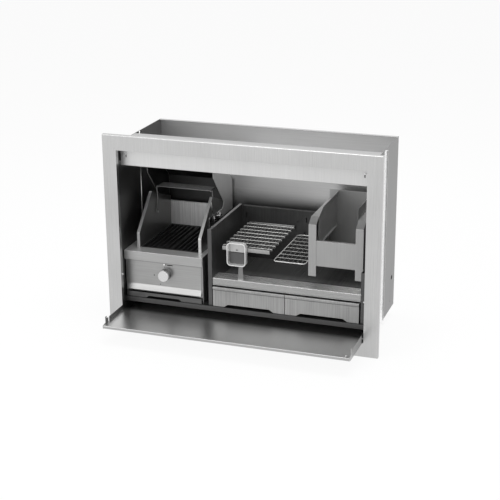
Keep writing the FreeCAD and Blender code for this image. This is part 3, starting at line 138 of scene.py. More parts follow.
class GrillStage(PropertyGroup):
    """Camera, lamps and floor."""

    place: FloatVectorProperty(
        name="Camera place", description="Where the camera stands",
        default=(1.64825, -4.80704, 2.05066), size=3, unit="LENGTH",
    )
    yaw: angle("Yaw", "Turn to the left", 19.32)
    pitch: angle("Pitch", "Tilt below level", 19.24)
    roll: angle("Roll", "Turn about the view", -0.44)
    lens: FloatProperty(
        name="Lens", description="Focal length in mm on a 36 mm sensor", default=89.46,
    )
    sky: share("Sky", "Strength of the even light from all round", 0.5)
    floor: tint("Floor", "Colour of the floor", (0.93, 0.93, 0.93))
    paper: share("Paper white", "Share of the floor's own white over its shadow", 0.92)


# ---- Materials

# Noises: scale, detail and roughness
HAIR = (1500.0, 1.0, 0.5)
STREAK = (330.0, 2.0, 0.6)
CLOUD = (4.0, 2.0, 0.5)
ROLLED = (220.0, 2.0, 0.6)
SHEET_CLOUD = (3.5, 3.0, 0.5)
SOOT_STREAK = (260.0, 2.0, 0.6)
SOOT_CLOUD = (6.0, 4.0, 0.6)
ORANGE_PEEL = (420.0, 2.0, 0.5)
HAZE = (12.0, 4.0, 0.6)
PITS = (700.0, 4.0, 0.7)
GREASE = (30.0, 4.0, 0.6)
SPOTS = (120.0, 3.0, 0.5)
SPARK = (1400.0, 3.0, 0.6)

# Stretch of a noise: even, drawn out by rolling, and drawn out along each direction
EVEN = (1.0, 1.0, 1.0)
ROLLING = (1.0, 1.0, 0.03)
GRAIN = {"x": (0.012, 1.0, 1.0), "y": (1.0, 0.012, 1.0), "z": (1.0, 1.0, 0.012)}

SHEET_EDGE = 0.0006  # radius of the bevel that catches light on the edges of a sheet, in metres


class Nodes:
    """Short hand for building a node tree."""

    def __init__(self, tree):
        self.tree = tree
        tree.nodes.clear()

    def add(self, kind, result="", inputs=None, **settings):
        """An output of a new node, with its settings and with values or sockets for its inputs.

        A name stands for the socket of one of the tree's own inputs.
        """
        node = self.tree.nodes.new(kind)
        for key, value in settings.items():
            setattr(node, key, value)
        for key, value in (inputs or {}).items():
            if isinstance(value, str):
                value = self.inlet.outputs[value]
            if isinstance(value, bpy.types.NodeSocket):
                self.tree.links.new(value, node.inputs[key])
            else:
                node.inputs[key].default_value = value
        return node.outputs[result] if result else None


class Paint(Nodes):
    """Node tree of a material or a world."""

    def __init__(self, data):
        data.use_nodes = True
        super().__init__(data.node_tree)
        self.data = data

    def dress(self, shade, roughness, metal, height, strength, distance, rounding=0.0):
        """The material, ended with a shader that has a bump over edges rounded a little."""
        inputs = {"Height": height, "Strength": strength, "Distance": distance}
        if rounding > 0:
            bevel = {"Radius": rounding}
            inputs["Normal"] = self.add("ShaderNodeBevel", "Normal", bevel, samples=4)
        bump = self.add("ShaderNodeBump", "Normal", inputs)
        inputs = {"Base Color": shade, "Roughness": roughness, "Metallic": metal, "Normal": bump}
        surface = self.add("ShaderNodeBsdfPrincipled", "BSDF", inputs)
        self.add("ShaderNodeOutputMaterial", inputs={"Surface": surface})
        return self.data

    def noise(self, settings, stretch=EVEN):
        """Noise texture over the object's own coordinates."""
        source = self.add("ShaderNodeTexCoord", "Object")
        where = self.add("ShaderNodeMapping", "Vector", {"Vector": source, "Scale": stretch})
        inputs = dict(zip(("Scale", "Detail", "Roughness"), settings))
        return self.add("ShaderNodeTexNoise", "Fac", {"Vector": where, **inputs})

    def spread(self, *values):
        """Map a value from one span, given by two values, to another."""
        names = ("Value", "From Min", "From Max", "To Min", "To Max")
        return self.add("ShaderNodeMapRange", "Result", dict(zip(names, values)))

    def shades(self, value, span, colour, factors):
        """Colour that runs from one factor of it to another over a span of a value."""
        shade = self.add("ShaderNodeValToRGB", "Color", {"Fac": value})
        for stop, place, factor in zip(shade.node.color_ramp.elements, span, factors):
            stop.position = place
            stop.color = (*paler(colour, factor), 1.0)
        return shade

    def math(self, operation, first, second):
        """Sum, product or the like of two values."""
        return self.add("ShaderNodeMath", "Value", {0: first, 1: second}, operation=operation)

    def blend(self, first, part, second):
        """One value by its part, and another by the rest."""
        rest = self.math("MULTIPLY", second, 1.0 - part)
        return self.math("ADD", self.math("MULTIPLY", first, part), rest)

    def along(self, vector, axis):
        """Part of a vector along an axis."""
        return self.add("ShaderNodeSeparateXYZ", axis, {"Vector": vector})

    def facing(self, axis):
        """How far the surface faces along an axis."""
        return self.along(self.add("ShaderNodeNewGeometry", "Normal"), axis)

    def scaled(self, colour, factor):
        """A colour times a factor that a socket gives."""
        inputs = {0: colour, "Scale": factor}
        return self.add("ShaderNodeVectorMath", "Vector", inputs, operation="SCALE")

    def painted_side_light(self, colour, side, factor):
        """The same colour, times a factor on faces that look up (Z) or to either side (X): painted
        light where the factor is over 1, painted shade where it is under 1.
        """
        amount = self.facing(side)
        if side == "X":
            amount = self.math("MULTIPLY", amount, amount)
        return self.scaled(colour, self.spread(amount, 0.5, 0.9, 1.0, factor))

    def painted_shade_along(self, colour, axis, dark, clear, factor, inside=False):
        """The same colour, times a factor that fades out between two places on an axis: painted
        shade.

        With inside, faces that look to the back of the grill stay as they are.
        """
        where = self.along(self.add("ShaderNodeTexCoord", "Object"), axis)
        amount = self.spread(where, dark, clear, factor, 1.0)
        if inside:
            outward = self.spread(self.facing("Y"), -0.2, 0.2, 0.0, 1.0)
            amount = self.math("MAXIMUM", amount, outward)
        return self.scaled(colour, amount)


def paler(colour, factor):
    """A colour times a factor, kept within white."""
    return tuple(min(channel * factor, 1.0) for channel in colour)


def new_paint(name):
    """Empty node tree of a new material."""
    return Paint(bpy.data.materials.new(name))


def brushed(name, colour, roughness, along, grain, metal, side="", factor=1.0, painted_shade=()):
    """Brushed sheet steel: hair-fine streaks along one direction, over faint soft clouds."""
    paint = new_paint(name)
    hair = paint.noise(HAIR, GRAIN[along])
    lines = paint.blend(hair, 0.35, paint.noise(STREAK, GRAIN[along]))
    tone = paint.blend(lines, 0.7, paint.noise(CLOUD))
    shade = paint.shades(tone, (0.36, 0.64), colour, (1.0 - grain, 1.0 + grain))
    # Painted light on one side where the factor is over 1, painted shade where it is under 1
    if side:
        shade = paint.painted_side_light(shade, side, factor)
    # Painted shade that fades out along an axis
    if painted_shade:
        shade = paint.painted_shade_along(shade, *painted_shade)
    rough = paint.spread(lines, 0.35, 0.65, roughness + 0.03, roughness - 0.03)
    return paint.dress(shade, rough, metal, hair, 0.04 + 0.1 * grain, 0.0001, SHEET_EDGE)


# Plain sheets: fine noise, its stretch and its part in the tone, noise of the rest, span and
# factors of the colour, change of the roughness, share of metal, strength and distance of the bump
SHEETS = {
    "mill": (
        ROLLED, ROLLING, 0.4, SHEET_CLOUD, (0.35, 0.65), (0.93, 1.06), (0.05, -0.04), 0.85,
        0.03, 0.0001,
    ),
    "scorched": (
        SOOT_STREAK, GRAIN["z"], 0.45, SOOT_CLOUD, (0.34, 0.66), (0.75, 1.2), (0.1, -0.05), 0.8,
        0.05, 0.0002,
    ),
}


def plain(name, sheet, colour, roughness, top=1.0):
    """Sheet steel with rolling marks or sooty streaks in soft clouds, and painted light on its
    upper side by a factor.
    """
    paint = new_paint(name)
    fine, stretch, part, cloud, span, factors, change, metal, *depth = SHEETS[sheet]
    marks = paint.noise(fine, stretch)
    tone = paint.blend(marks, part, paint.noise(cloud))
    # Painted light on the upper side, by the factor top
    shade = paint.painted_side_light(paint.shades(tone, span, colour, factors), "Z", top)
    low, high = (roughness + step for step in change)
    rough = paint.spread(tone, 0.3, 0.7, low, high)
    return paint.dress(shade, rough, metal, marks, *depth, SHEET_EDGE)


# Coats: noise, span and factors of the colour, noise and change of the roughness, noise of the
# bump, with its strength, its distance and the radius of the bevelled edges
COATS = {
    "enamel": (HAZE, (0.35, 0.7), (0.7, 1.6), HAZE, (0.08, -0.06), ORANGE_PEEL, (0.12, 0.0002)),
    "casting": (PITS, (0.35, 0.7), (0.6, 1.7), GREASE, (0.1, -0.1), PITS, (0.5, 0.0005, 0.0008)),
    "plating": (SPOTS, (0.32, 0.6), (0.8, 1.0), SPOTS, (0.08, -0.03), SPOTS, (0.04, 0.0001)),
    "plastic": (SPARK, (0.3, 0.7), (0.8, 1.3), SPARK, (0.06, -0.06), SPARK, (0.2, 0.0001, 0.0003)),
}


def coated(name, coat, colour, roughness, metal, painted_shade=()):
    """Enamel, cast iron, plated wire or moulded plastic."""
    paint = new_paint(name)
    spots, span, factors, dull, change, pits, depth = COATS[coat]
    shade = paint.shades(paint.noise(spots), span, colour, factors)
    # Painted shade that fades out along an axis
    if painted_shade:
        shade = paint.painted_shade_along(shade, *painted_shade)
    low, high = (roughness + step for step in change)
    rough = paint.spread(paint.noise(dull), 0.3, 0.7, low, high)
    return paint.dress(shade, rough, metal, paint.noise(pits), *depth)


def turned_metal(name, colour, roughness):
    """Turned metal with fine rings about the knob's axis."""
    paint = new_paint(name)
    low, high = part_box("knob")
    source = paint.add("ShaderNodeTexCoord", "Object")
    inputs = {"Vector": source, "Location": -(low + high) / 2}
    moved = paint.add("ShaderNodeMapping", "Vector", inputs)
    inputs = {0: moved, 1: (1.0, 0.0, 1.0)}
    flat = paint.add("ShaderNodeVectorMath", "Vector", inputs, operation="MULTIPLY")
    reach = paint.add("ShaderNodeVectorMath", "Value", {0: flat}, operation="LENGTH")
    inputs = {"W": reach, "Scale": 2200.0, "Detail": 2.0}
    tone = paint.add("ShaderNodeTexNoise", "Fac", inputs, noise_dimensions="1D")
    shade = paint.shades(tone, (0.3, 0.65), colour, (0.8, 1.0))
    rough = paint.spread(tone, 0.3, 0.7, roughness + 0.08, roughness - 0.04)
    return paint.dress(shade, rough, 1.0, tone, 0.15, 0.0002, 0.0005)


# Brushed sheets: the colour they start from, a factor on it, roughness, direction and strength of
# the grain, the share of metal, the side with painted light or shade and its factor, and where
# painted shade lies: its axis, the places in metres where it is full and where it ends, its
# factor, and only inside or not
BRUSHED = {
    "border_steel": ("border", 1.0, 0.3, "z", 0.1, 1.0),
    "strip_steel": ("border", 1.14, 0.4, "z", 0.06, 0.8),
    "drawer_steel": ("front", 0.86, 0.34, "z", 0.22, 1.0),
    "basket_steel": ("front", 1.0, 0.42, "z", 0.06, 0.5),
    # Painted shade at the top of the panel, under the surround's skirt
    "panel_steel": ("front", 1.0, 0.34, "x", 0.1, 0.9, "", 1.0, ("Z", 0.246, 0.236, 0.4)),
    # Painted shade, darker towards the back of the ash floor
    "ash_steel": ("fireplace", 9.0, 0.3, "y", 0.35, 0.8, "", 1.0, ("Y", 0.02, -0.09, 0.3)),
    # Painted light on the surround's upper faces
    "surround_steel": ("front", 1.1, 0.42, "x", 0.08, 0.6, "Z", 1.45),
    # Painted light: half again as pale as the inner plates
    "splash_steel": ("inner", 1.5, 0.42, "z", 0.34, 0.35),
    # Painted highlight on the rail's top
    "rail_steel": ("front", 1.0, 0.26, "x", 0.08, 0.8, "Z", 2.7),
    # Painted shade on the faces that look to either side
    "wing_steel": ("inner", 0.85, 0.34, "z", 0.05, 0.8, "X", 0.42),
    "hood_steel": ("inner", 0.85, 0.42, "z", 0.05, 0.6),
    # Painted shade towards the hinge
    "shelf_steel": ("border", 0.82, 0.33, "y", 0.02, 1.0, "", 1.0, ("Y", -0.238, -0.275, 0.3)),
    # Painted shade: the side walls at half the cabinet's colour
    "wall_steel": ("cabinet", 0.5, 0.34, "z", 0.05, 1.0),
    # Painted light: paler than the side walls; painted shade on its inside, darker towards the
    # bottom
    "back_steel": ("cabinet", 1.2, 0.38, "x", 0.05, 0.9, "", 1.0, ("Z", 0.385, 0.47, 0.2, True)),
    # Painted reflection: the wall ties at more than twice the cabinet's colour
    "tie_steel": ("cabinet", 2.4, 0.16, "z", 0.03, 1.0),
    "prop_rim": ("inner", 1.5, 0.35, "x", 0.05, 0.5),
    "prop_steel": ("front", 1.3, 0.35, "z", 0.06, 0.9),
    "stem_steel": ("front", 0.6, 0.35, "z", 0.06, 0.9),
    "bar_steel": ("front", 1.0, 0.4, "x", 0.08, 0.8),
    # Painted shade: these four start from the colour of parts in shade
    "prop_dark": ("shadow", 1.2, 0.4, "z", 0.06, 0.9),
    "sill_sheet": ("shadow", 1.0, 0.4, "x", 0.1, 0.9),
    "tray_steel": ("shadow", 1.2, 0.35, "x", 0.1, 0.9),
    "bracket_steel": ("shadow", 0.8, 0.4, "z", 0.06, 0.9),
}

# Plain sheets: their kind, the colour they start from and a factor on it, roughness and, where
# the upper side has painted light, its factor
PLAIN = {
    "cabinet_sheet": ("mill", "cabinet", 1.0, 0.38),
    "inner_sheet": ("mill", "cabinet", 0.7, 0.42),
    # Painted light on the upper side, four times as pale
    "fire_side": ("scorched", "fireplace", 1.4, 0.4, 4.0),
    "fire_back": ("scorched", "fireplace", 0.8, 0.45),
}

# Coated pieces: their coat, colour, roughness, share of metal and where painted shade lies
COATED = {
    "hood_enamel": ("enamel", (0.012, 0.012, 0.012), 0.4, 0.0),
    "grate_iron": ("casting", (0.03, 0.03, 0.03), 0.52, 0.35),
    "wire_plate": ("plating", (0.8, 0.8, 0.79), 0.5, 0.55),
    # Painted shade on the loops' lower wires, under the rods
    "loop_plate": ("plating", (0.62, 0.62, 0.61), 0.5, 0.55, ("Z", 0.333, 0.3365, 0.2)),
    # Painted shade: the next three are the same plated wire as the rims and loops, darkened
    "rod_plate": ("plating", (0.18, 0.18, 0.18), 0.5, 0.7),
    "row_plate": ("plating", (0.42, 0.42, 0.41), 0.5, 0.6),
    "cell_plate": ("plating", (0.17, 0.17, 0.17), 0.5, 0.6),
    "dark_wire": ("plating", (0.26, 0.26, 0.26), 0.5, 0.6),
    "bright_pin": ("plating", (0.9, 0.9, 0.89), 0.16, 1.0),
    "pin_steel": ("plating", (0.6, 0.6, 0.6), 0.25, 1.0),
    "brass": ("plating", (0.55, 0.4, 0.18), 0.35, 1.0),
    "black_plastic": ("plastic", (0.02, 0.02, 0.02), 0.45, 0.0),
}

# Turned pieces: their colour and roughness
TURNED = {
    "knob_face": ((0.72, 0.72, 0.72), 0.3),
    # Painted shade: darkened for the shade in the knob's waist
    "knob_metal": ((0.3, 0.3, 0.3), 0.34),
}


@cache
def finish_of(name):
    """One of the object's finishes, made when it is first asked for."""
    steel = bpy.context.scene.grill_steel
    if name in BRUSHED:
        source, factor, roughness, along, grain, *rest = BRUSHED[name]
        colour = paler(getattr(steel, source), factor)
        return brushed(name, colour, roughness, along, 2.0 * grain * steel.grain, *rest)
    if name in PLAIN:
        sheet, source, factor, *rest = PLAIN[name]
        return plain(name, sheet, paler(getattr(steel, source), factor), *rest)
    if name in COATED:
        return coated(name, *COATED[name])
    return turned_metal(name, *TURNED[name])


# Finish of each piece that keeps its own shape
finishes = {
    "border_steel": ["front_frame"],
    "strip_steel": ["draught_strip"],
    "back_steel": ["cabinet_back"],
    "wall_steel": ["cabinet_wall_left", "cabinet_wall_right"],
    "tie_steel": ["wall_ties"],
    "cabinet_sheet": ["base_pan", "header_plate"],
    "bracket_steel": ["strip_brackets", "latch_plates"],
    "inner_sheet": [
        "gas_casing", "flame_tamer", "grate_rests", "drawer_left_box", "drawer_right_box",
        "slide_runners", "burner", "gas_pipe",
    ],
    "sill_sheet": ["hearth_floor"],
    "fire_side": ["hearth_left_plate", "hearth_right_plate"],
    "fire_back": ["hearth_back_plate"],
    "ash_steel": ["ash_floor"],
    "drawer_steel": ["drawer_left_front", "drawer_right_front"],
    "basket_steel": ["basket_side_left", "basket_side_right", "basket_front", "basket_back"],
    "splash_steel": ["splash_plate"],
    "panel_steel": ["control_panel"],
    "surround_steel": ["gas_surround"],
    "tray_steel": ["drip_tray"],
    "prop_steel": ["prop_upper_plate"],
    "stem_steel": ["prop_stem"],
    "prop_dark": ["prop_lower_plate"],
    "prop_rim": ["prop_loop"],
    "rail_steel": ["front_rail"],
    "wing_steel": ["wings"],
    "shelf_steel": ["flap_shelf", "flap_cheeks"],
    "hood_steel": ["hood_skin", "hood_ends"],
    "grate_iron": ["cast_grates"],
    "wire_plate": ["grid_left", "grid_right", "basket_grate"],
    "dark_wire": ["warming_rack", "rack_links"],
    "pin_steel": ["strip_bolts", "flap_hinge_pins", "latch_pins", "hood_hinge", "rack_pivots"],
    "bright_pin": ["igniter_button"],
    "knob_face": ["knob"],
    "knob_metal": ["knob_bezel", "igniter_collar"],
    "black_plastic": ["igniter_housing"],
    "brass": ["gas_valve"],
}


# ---- Meshes

BEND_RUNS = 5  # straight runs in a bend of wire
HOOK_BEND = 1.3  # radius of a hook's bend, as a factor on its wire's radius
HOOK_DROP = 3.0  # length of a hook's turned-down end, likewise


def placed(name, data):
    """Object in the scene, made of its data, which takes its name."""
    data.name = name
    made = bpy.data.objects.new(name, data)
    bpy.context.scene.collection.objects.link(made)
    return made


def piece(name, mesh, body, finish, slot, *stands_for):
    """Object made of a mesh that is in its place, riding on a body."""
    made = placed(name, mesh)
    mesh.materials.clear()
    mesh.materials.append(finish_of(finish))
    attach(made, body)
    if stands_for:
        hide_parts(*stands_for)
    return made


def mesh_of(shape):
    """Mesh from a bmesh as it is."""
    mesh = bpy.data.meshes.new("mesh")
    shape.to_mesh(mesh)
    shape.free()
    return mesh


def as_mesh(shape, smooth=True):
    """Mesh from a bmesh, with its faces pointing outwards."""
    bmesh.ops.recalc_face_normals(shape, faces=shape.faces)
    for face in shape.faces:
        face.smooth = smooth
    return mesh_of(shape)


def joined(meshes):
    """One mesh made of several."""
    shape = bmesh.new()
    for mesh in meshes:
        shape.from_mesh(mesh)
    return mesh_of(shape)


def circle(middle, first, second, count):
    """Points of a circle about a middle, with its radius along two directions."""
    turns = [2 * pi * index / count for index in range(count)]
    return [middle + first * cos(turn) + second * sin(turn) for turn in turns]


def rounded(points, bend):
    """Path through points with an arc at each corner."""
    path = [points[0]]
    for before, corner, after in zip(points, points[1:], points[2:]):
        back = (before - corner).normalized()
        ahead = (after - corner).normalized()
        half = back.angle(ahead) / 2
        reach = bend / tan(half)
        centre = corner + (back + ahead).normalized() * (bend / sin(half))
        start = corner + back * reach - centre
        turn = start.rotation_difference(corner + ahead * reach - centre)
        for step in range(BEND_RUNS + 1):
            path.append(centre + Quaternion().slerp(turn, step / BEND_RUNS) @ start)
    path.append(points[-1])
    return path


def sweep(shape, path, radius, sides=12, closed=False):
    """Round wire along a path, added to a bmesh."""
    count = len(path)
    rings = []
    across = None
    for index, place in enumerate(path):
        if closed:
            before, after = path[index - 1], path[(index + 1) % count]
        else:
            before, after = path[max(index - 1, 0)], path[min(index + 1, count - 1)]
        along = ((place - before).normalized() + (after - place).normalized()).normalized()
        if across is None:
            upright = Vector((0.0, 0.0, 1.0))
            guide = upright if abs(along.z) < 0.9 else Vector((1.0, 0.0, 0.0))
            across = along.cross(guide).normalized()
        else:
            across = (across - along * across.dot(along)).normalized()
        other = along.cross(across)
        turns = [2 * pi * (side + 0.5) / sides for side in range(sides)]
        rings.append([
            shape.verts.new(place + (across * cos(turn) + other * sin(turn)) * radius)
            for turn in turns
        ])
    pairs = list(zip(rings, rings[1:]))
    if closed:
        last, first = rings[-1], rings[0]
        nearest = min(range(sides), key=lambda shift: (first[shift].co - last[0].co).length)
        pairs.append((last, first[nearest:] + first[:nearest]))
    for low, high in pairs:
        for side in range(sides):
            after = (side + 1) % sides
            shape.faces.new((low[side], low[after], high[after], high[side]))
    if not closed:
        shape.faces.new(rings[0][::-1])
        shape.faces.new(rings[-1])


def bar(shape, low, high, edge=0.0):
    """Box between two corners with eased edges, added to a bmesh."""
    before = set(shape.verts)
    fit = Matrix.Translation((low + high) / 2) @ Matrix.Diagonal((*(high - low), 1.0))
    bmesh.ops.create_cube(shape, size=1.0, matrix=fit)
    if edge > 0:
        fresh = [vert for vert in shape.verts if vert not in before]
        edges = list({item for vert in fresh for item in vert.link_edges})
        bmesh.ops.bevel(
            shape, geom=edges, offset=edge, segments=2, profile=0.5, affect="EDGES",
        )


def hooks(shape, places, start, end, level, wire):
    """Wires that run back from a grid and turn down at their end, added to a bmesh."""
    for x in places:
        corners = ((x, start, level), (x, end, level), (x, end, level - HOOK_DROP * wire))
        sweep(shape, rounded([Vector(corner) for corner in corners], HOOK_BEND * wire), wire)


# ---- Geometry Nodes for what repeats

# Kind of each input that a tree can have
KINDS = {
    "Count": "Int", "First": "Vector", "Step": "Vector", "Run": "Vector", "Middle": "Vector",
    "Turn": "Vector", "Radius": "Float", "Reach": "Float", "Width": "Float", "Height": "Float",
    "Corner": "Float", "Finish": "Material",
}


class Tree(Nodes):
    """Geometry Nodes tree with named inputs."""

    def __init__(self, name, *inputs):
        super().__init__(bpy.data.node_groups.new(name, "GeometryNodeTree"))
        new_socket = self.tree.interface.new_socket
        for side in ("INPUT", "OUTPUT"):
            new_socket("Geometry", in_out=side, socket_type="NodeSocketGeometry")
        self.sockets = {}
        for key in (*inputs, "Finish"):
            socket = new_socket(key, in_out="INPUT", socket_type="NodeSocket" + KINDS[key])
            self.sockets[key] = socket.identifier
        self.inlet = self.tree.nodes.new("NodeGroupInput")

    def row(self):
        """Points in a row."""
        inputs = {"Count": "Count", "Start Location": "First", "Offset": "Step"}
        return self.add("GeometryNodeMeshLine", "Mesh", inputs, mode="OFFSET")

    def line(self):
        """Straight curve from the origin."""
        return self.add("GeometryNodeCurvePrimitiveLine", "Curve", {"End": "Run"})

    def wire(self, curve, sides):
        """Round wire along a curve."""
        inputs = {"Radius": "Radius", "Resolution": sides}
        ring = self.add("GeometryNodeCurvePrimitiveCircle", "Curve", inputs)
        inputs = {"Curve": curve, "Profile Curve": ring, "Fill Caps": True}
        return self.add("GeometryNodeCurveToMesh", "Mesh", inputs)

    def closed(self, points, instance, **inputs):
        """The tree, ended with the instance on each point as real geometry with a material."""
        inputs = {"Points": points, "Instance": instance, **inputs}
        laid = self.add("GeometryNodeInstanceOnPoints", "Instances", inputs)
        real = self.add("GeometryNodeRealizeInstances", "Geometry", {"Geometry": laid})
        inputs = {"Geometry": real, "Shade Smooth": True}
        smooth = self.add("GeometryNodeSetShadeSmooth", "Geometry", inputs)
        inputs = {"Geometry": smooth, "Material": "Finish"}
        painted = self.add("GeometryNodeSetMaterial", "Geometry", inputs)
        self.add("NodeGroupOutput", inputs={"Geometry": painted})
        return self


@cache
def row_of_wires():
    """Tree that lays straight wires side by side."""
    tree = Tree("row_of_wires", "Count", "First", "Step", "Run", "Radius")
    return tree.closed(tree.row(), tree.wire(tree.line(), 12))


@cache
def ring_of_wires():
    """Tree that stands short wires side by side round a circle whose axis lies along Y."""
    tree = Tree("ring_of_wires", "Count", "Reach", "Middle", "Run", "Radius")
    ring = tree.add("GeometryNodeMeshCircle", "Mesh", {"Vertices": "Count", "Radius": "Reach"})
    inputs = {"Geometry": ring, "Rotation": (pi / 2, 0.0, 0.0), "Translation": "Middle"}
    turned = tree.add("GeometryNodeTransform", "Geometry", inputs)
    return tree.closed(turned, tree.wire(tree.line(), 8))


@cache
def row_of_loops():
    """Tree that repeats a closed wire loop with round corners."""
    tree = Tree(
        "row_of_loops", "Count", "First", "Step", "Width", "Height", "Corner", "Turn", "Radius",
    )
    inputs = {"Width": "Width", "Height": "Height"}
    square = tree.add("GeometryNodeCurvePrimitiveQuadrilateral", "Curve", inputs)
    inputs = {"Curve": square, "Radius": "Corner", "Count": 6}
    loop = tree.add("GeometryNodeFilletCurve", "Curve", inputs, mode="POLY")
    inputs = {"Geometry": loop, "Rotation": "Turn"}
    turned = tree.add("GeometryNodeTransform", "Geometry", inputs)
    return tree.closed(tree.row(), tree.wire(turned, 12))


@cache
def heads_on_points():
    """Tree that puts a domed fastener head on each given point."""
    tree = Tree("heads_on_points", "Radius", "Height", "Turn")
    inputs = {"Segments": 16, "Rings": 8, "Radius": 1.0}
    dome = tree.add("GeometryNodeMeshUVSphere", "Mesh", inputs)
    inputs = {"X": "Radius", "Y": "Radius", "Z": "Height"}
    size = tree.add("ShaderNodeCombineXYZ", "Vector", inputs)
    return tree.closed("Geometry", dome, Rotation="Turn", Scale=size)


def grown(name, maker, finish, points=(), **values):
    """Plain mesh that a Geometry Nodes tree makes from its inputs."""
    tree = maker()
    seed = bpy.data.meshes.new(name + "_seed")
    seed.from_pydata([tuple(place) for place in points], [], [])
    host = placed(name + "_seed", seed)
    modifier = host.modifiers.new("shape", "NODES")
    modifier.node_group = tree.tree
    values["Finish"] = finish_of(finish)
    for key, value in values.items():
        modifier[tree.sockets[key]] = value
    host.update_tag()
    graph = bpy.context.evaluated_depsgraph_get()
    graph.update()
    mesh = bpy.data.meshes.new_from_object(host.evaluated_get(graph))
    host.modifiers.clear()
    bpy.data.objects.remove(host)
    if not mesh.polygons:
        raise RuntimeError(name + " came out empty")
    return mesh


# ---- Operators


class GrillOperator(Operator):
    """Base of the operators that make the grill's pieces."""

    bl_options = {"REGISTER", "UNDO"}

    def execute(self, context):
        """Make the pieces, and stop with an error if one can't be made."""
        self.make(context)
        return {"FINISHED"}


class GRILL_OT_finishes(GrillOperator):
    """Give each piece that keeps its shape the finish of its own sheet or casting"""

    bl_idname = "grill.finishes"
    bl_label = "Finishes"

    def make(self, context):
        for finish, names in finishes.items():
            for name in names:
                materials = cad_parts[name].data.materials
                materials.clear()
                materials.append(finish_of(finish))
        left = set(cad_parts) - {name for names in finishes.values() for name in names}
        if left:
            raise RuntimeError("no finish for " + ", ".join(sorted(left)))


class GRILL_OT_left_grid(GrillOperator):
    """Make the left charcoal grid: rods between two flat bars, in wire loops that stand upright"""

    bl_idname = "grill.left_grid"
    bl_label = "Left charcoal grid"

    def make(self, context):
        size = context.scene.grill_wires
        low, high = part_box("grid_left")
        loop = size.left_wire * MM
        rod = size.left_rod * MM
        edge_rod = size.left_edge_rod * MM
        room = loop * 1.05  # for a round wire inside the part's six-sided one
        over = 4.0 * MM  # how far the loops stand over the bars' ends
        depth = 353.0 * MM
        thick = 3.0 * MM
        hook_inset = 28.0 * MM

        left = low.x + over + room
        right = high.x - over - room
        front = low.y
        back = front + depth
        top = high.z
        shape = bmesh.new()
        for start in (front, back - thick):
            near = Vector((left, start, low.z))
            bar(shape, near, Vector((right, start + thick, top)), 0.5 * MM)
        hooks(
            shape, (left + hook_inset, right - hook_inset), back - thick / 2, high.y - room,
            (low.z + top) / 2, loop,
        )
        bars = as_mesh(shape)

        level = top - 2 * loop - rod - 0.1 * MM
        begin = front + thick / 2
        run = (0.0, depth - thick, 0.0)
        span = right - left - 2 * edge_rod
        step = span / (size.left_rods - 1)
        rods = grown(
            "left_grid_rods", row_of_wires, "rod_plate", Count=size.left_rods - 2,
            First=(left + edge_rod + step, begin, level), Step=(step, 0.0, 0.0), Run=run,
            Radius=rod,
        )
        edge_rods = grown(
            "left_grid_edge_rods", row_of_wires, "rod_plate", Count=2,
            First=(left + edge_rod, begin, level), Step=(span, 0.0, 0.0), Run=run,
            Radius=edge_rod,
        )

        pitch = depth / size.left_loops
        low_wire = level - rod - loop - 0.9 * MM
        top_wire = top - loop
        tall = top_wire - low_wire
        loops = grown(
            "left_grid_loops", row_of_loops, "loop_plate", Count=size.left_loops,
            First=((left + right) / 2, front + pitch / 2, (low_wire + top_wire) / 2),
            Step=(0.0, pitch, 0.0), Width=right - left + 2 * over, Height=tall,
            Corner=tall / 2 - 0.1 * MM, Turn=(pi / 2, 0.0, 0.0), Radius=loop,
        )
        rods = joined([rods, edge_rods])
        piece("left_grid", loops, "grid_left", "loop_plate", "wire", "grid_left")
        piece("left_grid_bars", bars, "grid_left", "bar_steel", "wire")
        piece("left_grid_rods", rods, "grid_left", "rod_plate", "wire")


class GRILL_OT_right_grid(GrillOperator):
    """Make the right charcoal grid: a wire rim with rows and cells of thin wire"""

    bl_idname = "grill.right_grid"
    bl_label = "Right charcoal grid"

    def make(self, context):
        size = context.scene.grill_wires
        low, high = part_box("grid_right")
        rim = size.right_wire * MM
        thin = size.right_thin * MM
        room = rim * 1.155  # from the part's six-sided rim to its middle
        depth = 359.0 * MM
        drop = thin + 0.05 * MM  # from the rim's level to the thin wires above and below it
        hook_inset = 26.0 * MM

        left = low.x + room
        right = high.x - room
        front = low.y + room
        back = front + depth
        row_level = high.z - thin
        level = row_level - drop
        cell_level = level - drop
        edge = grown(
            "right_grid_rim", row_of_loops, "wire_plate", Count=1,
            First=((left + right) / 2, (front + back) / 2, level),
            Width=right - left, Height=depth, Corner=14.0 * MM, Radius=rim,
        )
        step = depth / size.right_rows
        rows = grown(
            "right_grid_rows", row_of_wires, "row_plate", Count=size.right_rows - 1,
            First=(left, front + step, row_level), Step=(0.0, step, 0.0),
            Run=(right - left, 0.0, 0.0), Radius=thin,
        )
        step = (right - left) / size.right_cells
        cells = grown(
            "right_grid_cells", row_of_wires, "cell_plate", Count=size.right_cells - 1,
            First=(left + step, front, cell_level), Step=(step, 0.0, 0.0),
            Run=(0.0, depth, 0.0), Radius=thin,
        )
        shape = bmesh.new()
        places = (left + hook_inset, right - hook_inset)
        hooks(shape, places, back, high.y - rim * 1.05, level, rim)
        whole = joined([edge, as_mesh(shape)])
        piece("right_grid", whole, "grid_right", "wire_plate", "wire", "grid_right")
        piece("right_grid_rows", rows, "grid_right", "row_plate", "wire")
        piece("right_grid_cells", cells, "grid_right", "cell_plate", "wire")


